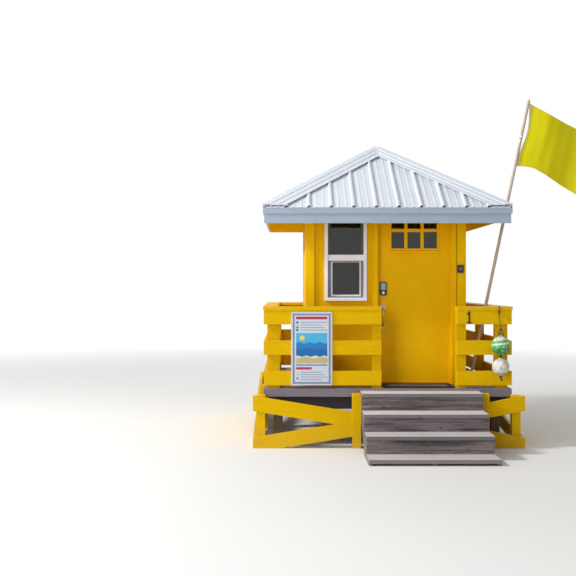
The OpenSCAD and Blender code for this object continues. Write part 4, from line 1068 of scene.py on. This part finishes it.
# The foot of the door is painted darker, as painted shade.
grime_and_shade = maths("MULTIPLY", use(splash, place, Height=0.8)["Dirt"], 0.35)
feed(shader, Base_Color=mixed(grime_and_shade, coat["Color"], (160, 122, 14)), Specular_IOR_Level=0.08,
     Roughness=spread(noise(place, 5), 0, 1, 0.4, 0.5), Normal=relief(noise(place, 300, 2), 0.001, 0.06))
finish(door_paint, "door")

glass_low, glass_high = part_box("door_glass")
bar_w, bar_d, bar_round, bar_step = 0.036, 0.014, 0.004, 0.0008
glass_y = (glass_low.y + glass_high.y) / 2
glass_half = (glass_high.y - glass_low.y) / 2
bars = []
third = (glass_high.x - glass_low.x + bar_w) / 3
bar_z = (glass_low.z + glass_high.z) / 2
for face in (-1, 1):
    y0, y1 = sorted((glass_y + face * glass_half, glass_y + face * (glass_half + bar_d)))
    for x in [glass_low.x + third * k - bar_w / 2 for k in (1, 2)]:
        bars.append(block((x - bar_w / 2, y0, glass_low.z), (x + bar_w / 2, y1, glass_high.z), bar_round))
    bars.append(block((glass_low.x, y0 + bar_step, bar_z - bar_w / 2),
                      (glass_high.x, y1 - bar_step, bar_z + bar_w / 2), bar_round))
add("door_bars", bars, door_paint, "door", smooth=False)

clear_glass, shader, place = new_material("window glass")
dust = noise(place, 9, 5, 0.7)
feed(shader, Base_Color=(150, 158, 156), Transmission_Weight=1.0, IOR=1.5, Metallic=0.0,
     Specular_IOR_Level=0.25, Roughness=spread(dust, 0.4, 0.8, 0.01, 0.1))
finish(clear_glass, "door_glass", "window_glass")

steel, shader, place = new_material("hinge steel")
brushed = noise(stretched(place, (400, 400, 30)), 1)
feed(shader, Base_Color=mixed(brushed, (170, 170, 172), (204, 204, 206)), Metallic=1.0,
     Roughness=spread(brushed, 0, 1, 0.25, 0.45), Normal=relief(brushed, 0.0005, 0.1))
finish(steel, "hinge_frame_leaves", "hinge_door_leaves")

# Lock and handle
# A keypad lock in a dark die-cast body with a glossy face painted light blue-grey as a
# painted reflection, over a bowed pull handle with a thumb piece in satin nickel, tinted warm
# as a painted reflection of the yellow door.
nickel_painted_reflection, shader, place = new_material("satin nickel")
smear = noise(place, 70)
rub = use(edges, place, Width=0.003, Reach=0.8)["Worn"]
# The nickel is tinted warm, a painted reflection of the yellow door.
tone = mixed(smear, (154, 132, 100), (202, 178, 138))
feed(shader, Base_Color=mixed(rub, tone, (214, 208, 198)), Metallic=1.0,
     Roughness=spread(smear, 0, 1, 0.22, 0.42))
finish(nickel_painted_reflection, "door_handle")

lock_low, lock_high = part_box("door_lock")
lock_x = (lock_low.x + lock_high.x) / 2
lock_z = (lock_low.z + lock_high.z) / 2
pad_y = lock_low.y
lock_paint, shader, place = new_material("lock body")
parts = axes(place)
face_step, cover_top = 0.0022, 0.016
proud = spread(parts["Y"], pad_y + face_step + 0.0002, pad_y + face_step)
above = spread(parts["Z"], lock_z - cover_top - 0.002, lock_z - cover_top)
face = maths("MULTIPLY", proud, above)
cover = maths("MULTIPLY", proud, maths("SUBTRACT", 1.0, above))
tone = mixed(noise(place, 90), (26, 25, 26), (48, 46, 46))
# The face is painted light blue-grey, a painted reflection.
tone = mixed(face, tone, (158, 178, 204))
feed(shader, Base_Color=mixed(cover, tone, (206, 198, 190)),
     Metallic=spread(cover, 0, 1, 0.2, 1.0), Roughness=spread(face, 0, 1, 0.42, 0.12),
     Normal=relief(noise(place, 500, 2), 0.0003, 0.3))
finish(lock_paint, "door_lock")
key_rows = [0.024 + 0.013 * k for k in range(-2, 3)]
key_spots = [(lock_x + x, pad_y, lock_z + z) for x in (-0.0115, 0.0115) for z in key_rows]
rubber = two_tone("rubber keys", (40, 44, 50), (70, 76, 84), 200, 0.5)
add("lock_keys", domes(key_spots, front, 0.0046, 0.0016), rubber, "door")
slot_w, slot_h, slot_z = 0.0012, 0.0055, lock_z - 0.045
keyway = [(lock_x + x * slot_w, slot_z + z * slot_h) for x, z in ((-1, -1), (1, -1), (1, 1), (-1, 1))]
add("lock_keyway", [prism(keyway, pad_y - 0.0003, pad_y + 0.0005)], rubber, "door",
    smooth=False)

# Window
# A white vinyl sash window, a little dusty: the upper sash stands outside, between dark
# liners, and the lower one behind the frame of an insect screen, painted blue-grey as
# painted shade.
vinyl, shader, place = new_material("white vinyl")
grime_and_shade = noise(place, 12, 5)
low_dust = noise(place, 40, 6, 0.7)
tone = mixed(grime_and_shade, (226, 226, 227), (242, 242, 244))
tone = mixed(spread(low_dust, 0.58, 0.8, 0, 0.4), tone, (190, 184, 170))
feed(shader, Base_Color=tone, Roughness=spread(grime_and_shade, 0, 1, 0.3, 0.42), Normal=relief(grime_and_shade, 0.0005, 0.1))
finish(vinyl, "window_frame", "window_sashes")

glass_low, glass_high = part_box("window_glass")
sash_low, sash_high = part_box("window_sashes")
sash_w, meet_w, glass_t = 0.024, 0.064, 0.004
bead_w, bead_d, in_groove, clear, rail_step = 0.007, 0.007, 0.0003, 0.0005, 0.0004
pane_x0, pane_x1 = glass_low.x - in_groove, glass_high.x + in_groove
middle = (sash_low.z + sash_high.z) / 2
meet_low, meet_high = middle - meet_w / 2, middle + meet_w / 2


def beads(low, high, y):
    """Four thin beads in front of a pane."""
    sides = ((pane_x0, pane_x0 + bead_w, low, high), (pane_x1 - bead_w, pane_x1, low, high),
             (pane_x0, pane_x1, low, low + bead_w), (pane_x0, pane_x1, high - bead_w, high))
    return [block((x0, y - bead_d, z0), (x1, y, z1), 0.002) for x0, x1, z0, z1 in sides]


def strips_round(x0, x1, z0, z1, widths, y0, y1, bevel=0.0015):
    """Four strips that frame an opening, their widths given left, right, low and high."""
    left_w, right_w, low_w, high_w = widths
    return [block(low, high, bevel) for low, high in (
        ((x0, y0, z0), (x0 + left_w, y1, z1)), ((x1 - right_w, y0, z0), (x1, y1, z1)),
        ((x0 + left_w, y0 + rail_step, z0), (x1 - right_w, y1 - rail_step, z0 + low_w)),
        ((x0 + left_w, y0 + rail_step, z1 - high_w), (x1 - right_w, y1 - rail_step, z1)))]


gasket = two_tone("window gasket", (58, 62, 60), (84, 88, 84), 40, 0.6)
# The screen frame is painted blue-grey, as painted shade on the white sash.
screen_shade_paint = two_tone("screen frame in painted shade", (98, 104, 126), (124, 130, 150), 30, (30, 0.4, 0.6))
open_x0, open_x1 = sash_low.x + clear, sash_high.x - clear
liner_foot, liner_y0, liner_y1 = 0.004, sash_low.y - 0.0025, sash_low.y - 0.0002
liners = strips_round(open_x0, open_x1, meet_high + clear, sash_high.z - clear,
                      (sash_w, sash_w, liner_foot, sash_w), liner_y0, liner_y1, 0.0008)
upper_beads = beads(meet_high, sash_high.z - sash_w, glass_low.y)
add("window_gaskets", liners + upper_beads, gasket, smooth=False)
screen_left, screen_right, screen_rail = 0.034, 0.029, 0.012
screen_y0, screen_y1, screen_bead_y0, screen_bead_y1 = -0.869, -0.8495, -0.865, -0.851
screen_z0, screen_z1 = sash_low.z + clear, meet_low - clear
screen = strips_round(open_x0, open_x1, screen_z0, screen_z1,
                      (screen_left, screen_right, screen_rail, screen_rail), screen_y0, screen_y1)
add("window_screen", screen, screen_shade_paint, smooth=False)
lower_beads = beads(sash_low.z + sash_w, meet_low, glass_high.y - glass_t)
lower_beads += strips_round(open_x0 + screen_left, open_x1 - screen_right, screen_z0 + screen_rail,
                            screen_z1 - screen_rail, (0.015, 0.012, 0.014, 0.004), screen_bead_y0,
                            screen_bead_y1)
add("window_beads", lower_beads, vinyl, smooth=False)
catch_x, catch_w, catch_d = glass_low.x + 0.13, 0.06, 0.012
catch = block((catch_x, sash_high.y, middle + 0.004),
              (catch_x + catch_w, sash_high.y + catch_d, middle + 0.022), 0.003)
add("window_catch", [catch], vinyl, smooth=False)

# Door bell
# A small black box with rounded corners and a round button of lavender grey in a thin
# metal ring.
bell_low, bell_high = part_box("door_bell")
bell_x = (bell_low.x + bell_high.x) / 2
bell_z = (bell_low.z + bell_high.z) / 2
gloss_black, shader, place = new_material("gloss black")
flat_place = stretched(place, (1, 0, 1))
apart = node(gloss_black, "VectorMath", {0: flat_place, 1: (bell_x, 0, bell_z)}, operation="DISTANCE")
button_r = 0.0135
button = spread(apart.outputs["Value"], button_r, button_r - 0.0005)
tone = mixed(noise(place, 60), (20, 20, 22), (32, 32, 35))
feed(shader, Base_Color=mixed(button, tone, (128, 124, 144)),
     Roughness=spread(noise(place, 200), 0, 1, 0.15, 0.3))
finish(gloss_black, "door_bell")
bell_ring = ring(Vector((bell_x, bell_low.y, bell_z)), back, button_r + 0.001, 0.0016, 32, 6)
add("bell_ring", [bell_ring], dull_steel)

# Sign
# An enamelled sheet with a printed notice of the builder's own: a beach picture of sky,
# sun, waves and sand between plain coloured rows.
sign_low, sign_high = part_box("sign_board")
sign_w, sign_h = sign_high.x - sign_low.x, sign_high.z - sign_low.z
print_step = 0.0003


def on_sign(shares):
    """Places given by shares of the sign's width from its left and height from its top."""
    return [(sign_low.x + x * sign_w, sign_high.z - z * sign_h) for x, z in shares]


def area(x0, x1, z0, z1):
    """A rectangle on the sign."""
    return on_sign(((x0, z1), (x1, z1), (x1, z0), (x0, z0)))


def wavy(top, height, waves, phase=0.0):
    """A band of the picture whose upper edge is a row of waves."""
    crest = [(picture_x0 + (picture_x1 - picture_x0) * t, top - height * sin(tau * (waves * t + phase)))
             for t in steps(48)]
    return on_sign(crest + [(picture_x1, picture_end), (picture_x0, picture_end)])


def disc(x, z, radius, turns=32):
    """A round spot on the sign, its radius in metres."""
    (x, z), = on_sign([(x, z)])
    return [(x + cos(a) * radius, z + sin(a) * radius) for a in around(turns)]


picture_x0, picture_x1, picture_end = 0.12, 0.88, 0.695
mark_x0, mark_x1, mark_h = 0.12, 0.18, 0.025
row_x0, row_h = 0.23, 0.011
row_levels = (0.135, 0.170, 0.205, 0.240, 0.815, 0.848, 0.881, 0.914)
prints = {
    "sign_frame": (((112, 124, 150), (130, 140, 164)), 1, [area(0.04, 0.96, 0.022, 0.978)]),
    "sign_field": (((198, 206, 222), (212, 219, 232)), 2, [area(0.085, 0.915, 0.045, 0.955)]),
    "sign_red": (((172, 36, 60), (188, 54, 76)), 3, [
        area(picture_x0, picture_x1, 0.062, 0.10), area(picture_x0, 0.50, 0.752, 0.784)]),
    "sign_rows": (((140, 148, 168), (156, 163, 181)), 3, [
        area(row_x0, picture_x1 - 0.07 * (k * 2 % 3), z, z + row_h) for k, z in enumerate(row_levels)]),
    "sign_blue": (((24, 84, 156), (40, 100, 168)), 3, [
        area(mark_x0, mark_x1, 0.128, 0.128 + mark_h), area(mark_x0, mark_x1, 0.233, 0.233 + mark_h),
        area(picture_x0, picture_x1, 0.716, 0.730)]),
    "sign_gold": (((224, 176, 60), (232, 190, 86)), 3, [
        area(mark_x0, mark_x1, 0.163, 0.163 + mark_h), disc(0.15, 0.853, 0.012)]),
    "sign_green": (((40, 140, 110), (56, 152, 122)), 3, [
        area(mark_x0, mark_x1, 0.198, 0.198 + mark_h), disc(0.15, 0.905, 0.012)]),
    "sign_sky": (((50, 168, 216), (84, 186, 226)), 3, [area(picture_x0, picture_x1, 0.285, picture_end)]),
    "sign_sun": (((238, 200, 60), (244, 214, 92)), 4, [disc(0.27, 0.355, 0.026)]),
    "sign_sea": (((4, 112, 186), (12, 128, 198)), 5, [wavy(0.42, 0.010, 3)]),
    "sign_swell": (((0, 92, 164), (8, 106, 176)), 6, [wavy(0.50, 0.012, 2.5, 0.3)]),
    "sign_foam": (((190, 226, 230), (206, 234, 236)), 7, [wavy(0.602, 0.008, 3.5, 0.1)]),
    "sign_sand": (((186, 172, 110), (200, 186, 128)), 8, [wavy(0.62, 0.010, 2, 0.6)]),
}
faded = {"scale": 7, "rough": (30, 0.2, 0.4)}
finish(two_tone("sign sheet", (196, 204, 218), (210, 217, 228), **faded), "sign_board")
for print_name, (tones, layer, shapes) in prints.items():
    parts = [prism(outline, sign_low.y - layer * print_step, sign_low.y) for outline in shapes]
    add(print_name, parts, two_tone(print_name + " enamel", *tones, **faded), smooth=False)
inset_x, inset_z = 0.012, 0.02
sign_xs = (sign_low.x + inset_x, sign_high.x - inset_x)
sign_zs = (sign_low.z + inset_z, (sign_low.z + sign_high.z) / 2, sign_high.z - inset_z)
add("sign_screws", domes([(x, sign_low.y, z) for x in sign_xs for z in sign_zs], front, 0.006, 0.003), zinc)

# Door mat
# A black rubber tray with a wide lip round it, and a dusty grey carpet of close ribs.
mat_low, mat_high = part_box("door_mat")
mat_rubber, shader, place = new_material("mat rubber")
dusty = noise(place, 45, 6, 0.7)
feed(shader, Base_Color=mixed(spread(dusty, 0.45, 0.8), (14, 13, 13), (54, 50, 46)),
     Roughness=spread(dusty, 0, 1, 0.7, 0.95), Normal=relief(dusty, 0.001, 0.3))
finish(mat_rubber, "door_mat")
border, rim_gap, lip_gap = 0.052, 0.003, 0.004
rib_step, rib_w, rib_rise, lip_rise = 0.0115, 0.006, 0.003, 0.004
mat_x0, mat_x1, mat_y0, mat_y1, mat_z = mat_low.x, mat_high.x, mat_low.y, mat_high.y, mat_high.z
ribs = []
y = mat_y0 + border + 0.004
while y < mat_y1 - border:
    ribs.append(block((mat_x0 + border, y, mat_z), (mat_x1 - border, y + rib_w, mat_z + rib_rise), 0.0012, 1))
    y += rib_step
lip_in, side_y0, side_y1 = border - lip_gap, mat_y0 + border - rim_gap, mat_y1 - border + rim_gap
lips = [block((x0, y0, mat_z), (x1, y1, mat_z + lip_rise), 0.0015, 1) for x0, x1, y0, y1 in (
    (mat_x0 + rim_gap, mat_x1 - rim_gap, mat_y0 + rim_gap, mat_y0 + lip_in),
    (mat_x0 + rim_gap, mat_x1 - rim_gap, mat_y1 - lip_in, mat_y1 - rim_gap),
    (mat_x0 + rim_gap, mat_x0 + lip_in, side_y0, side_y1),
    (mat_x1 - lip_in, mat_x1 - rim_gap, side_y0, side_y1))]
add("mat_lip", lips, mat_rubber, smooth=False)
pile = two_tone("mat carpet", (104, 94, 88), (140, 128, 120), 9, 0.95, (500, 3, 0.002, 0.8),
                Specular_IOR_Level=0.1)
add("mat_ribs", ribs, pile, smooth=False)
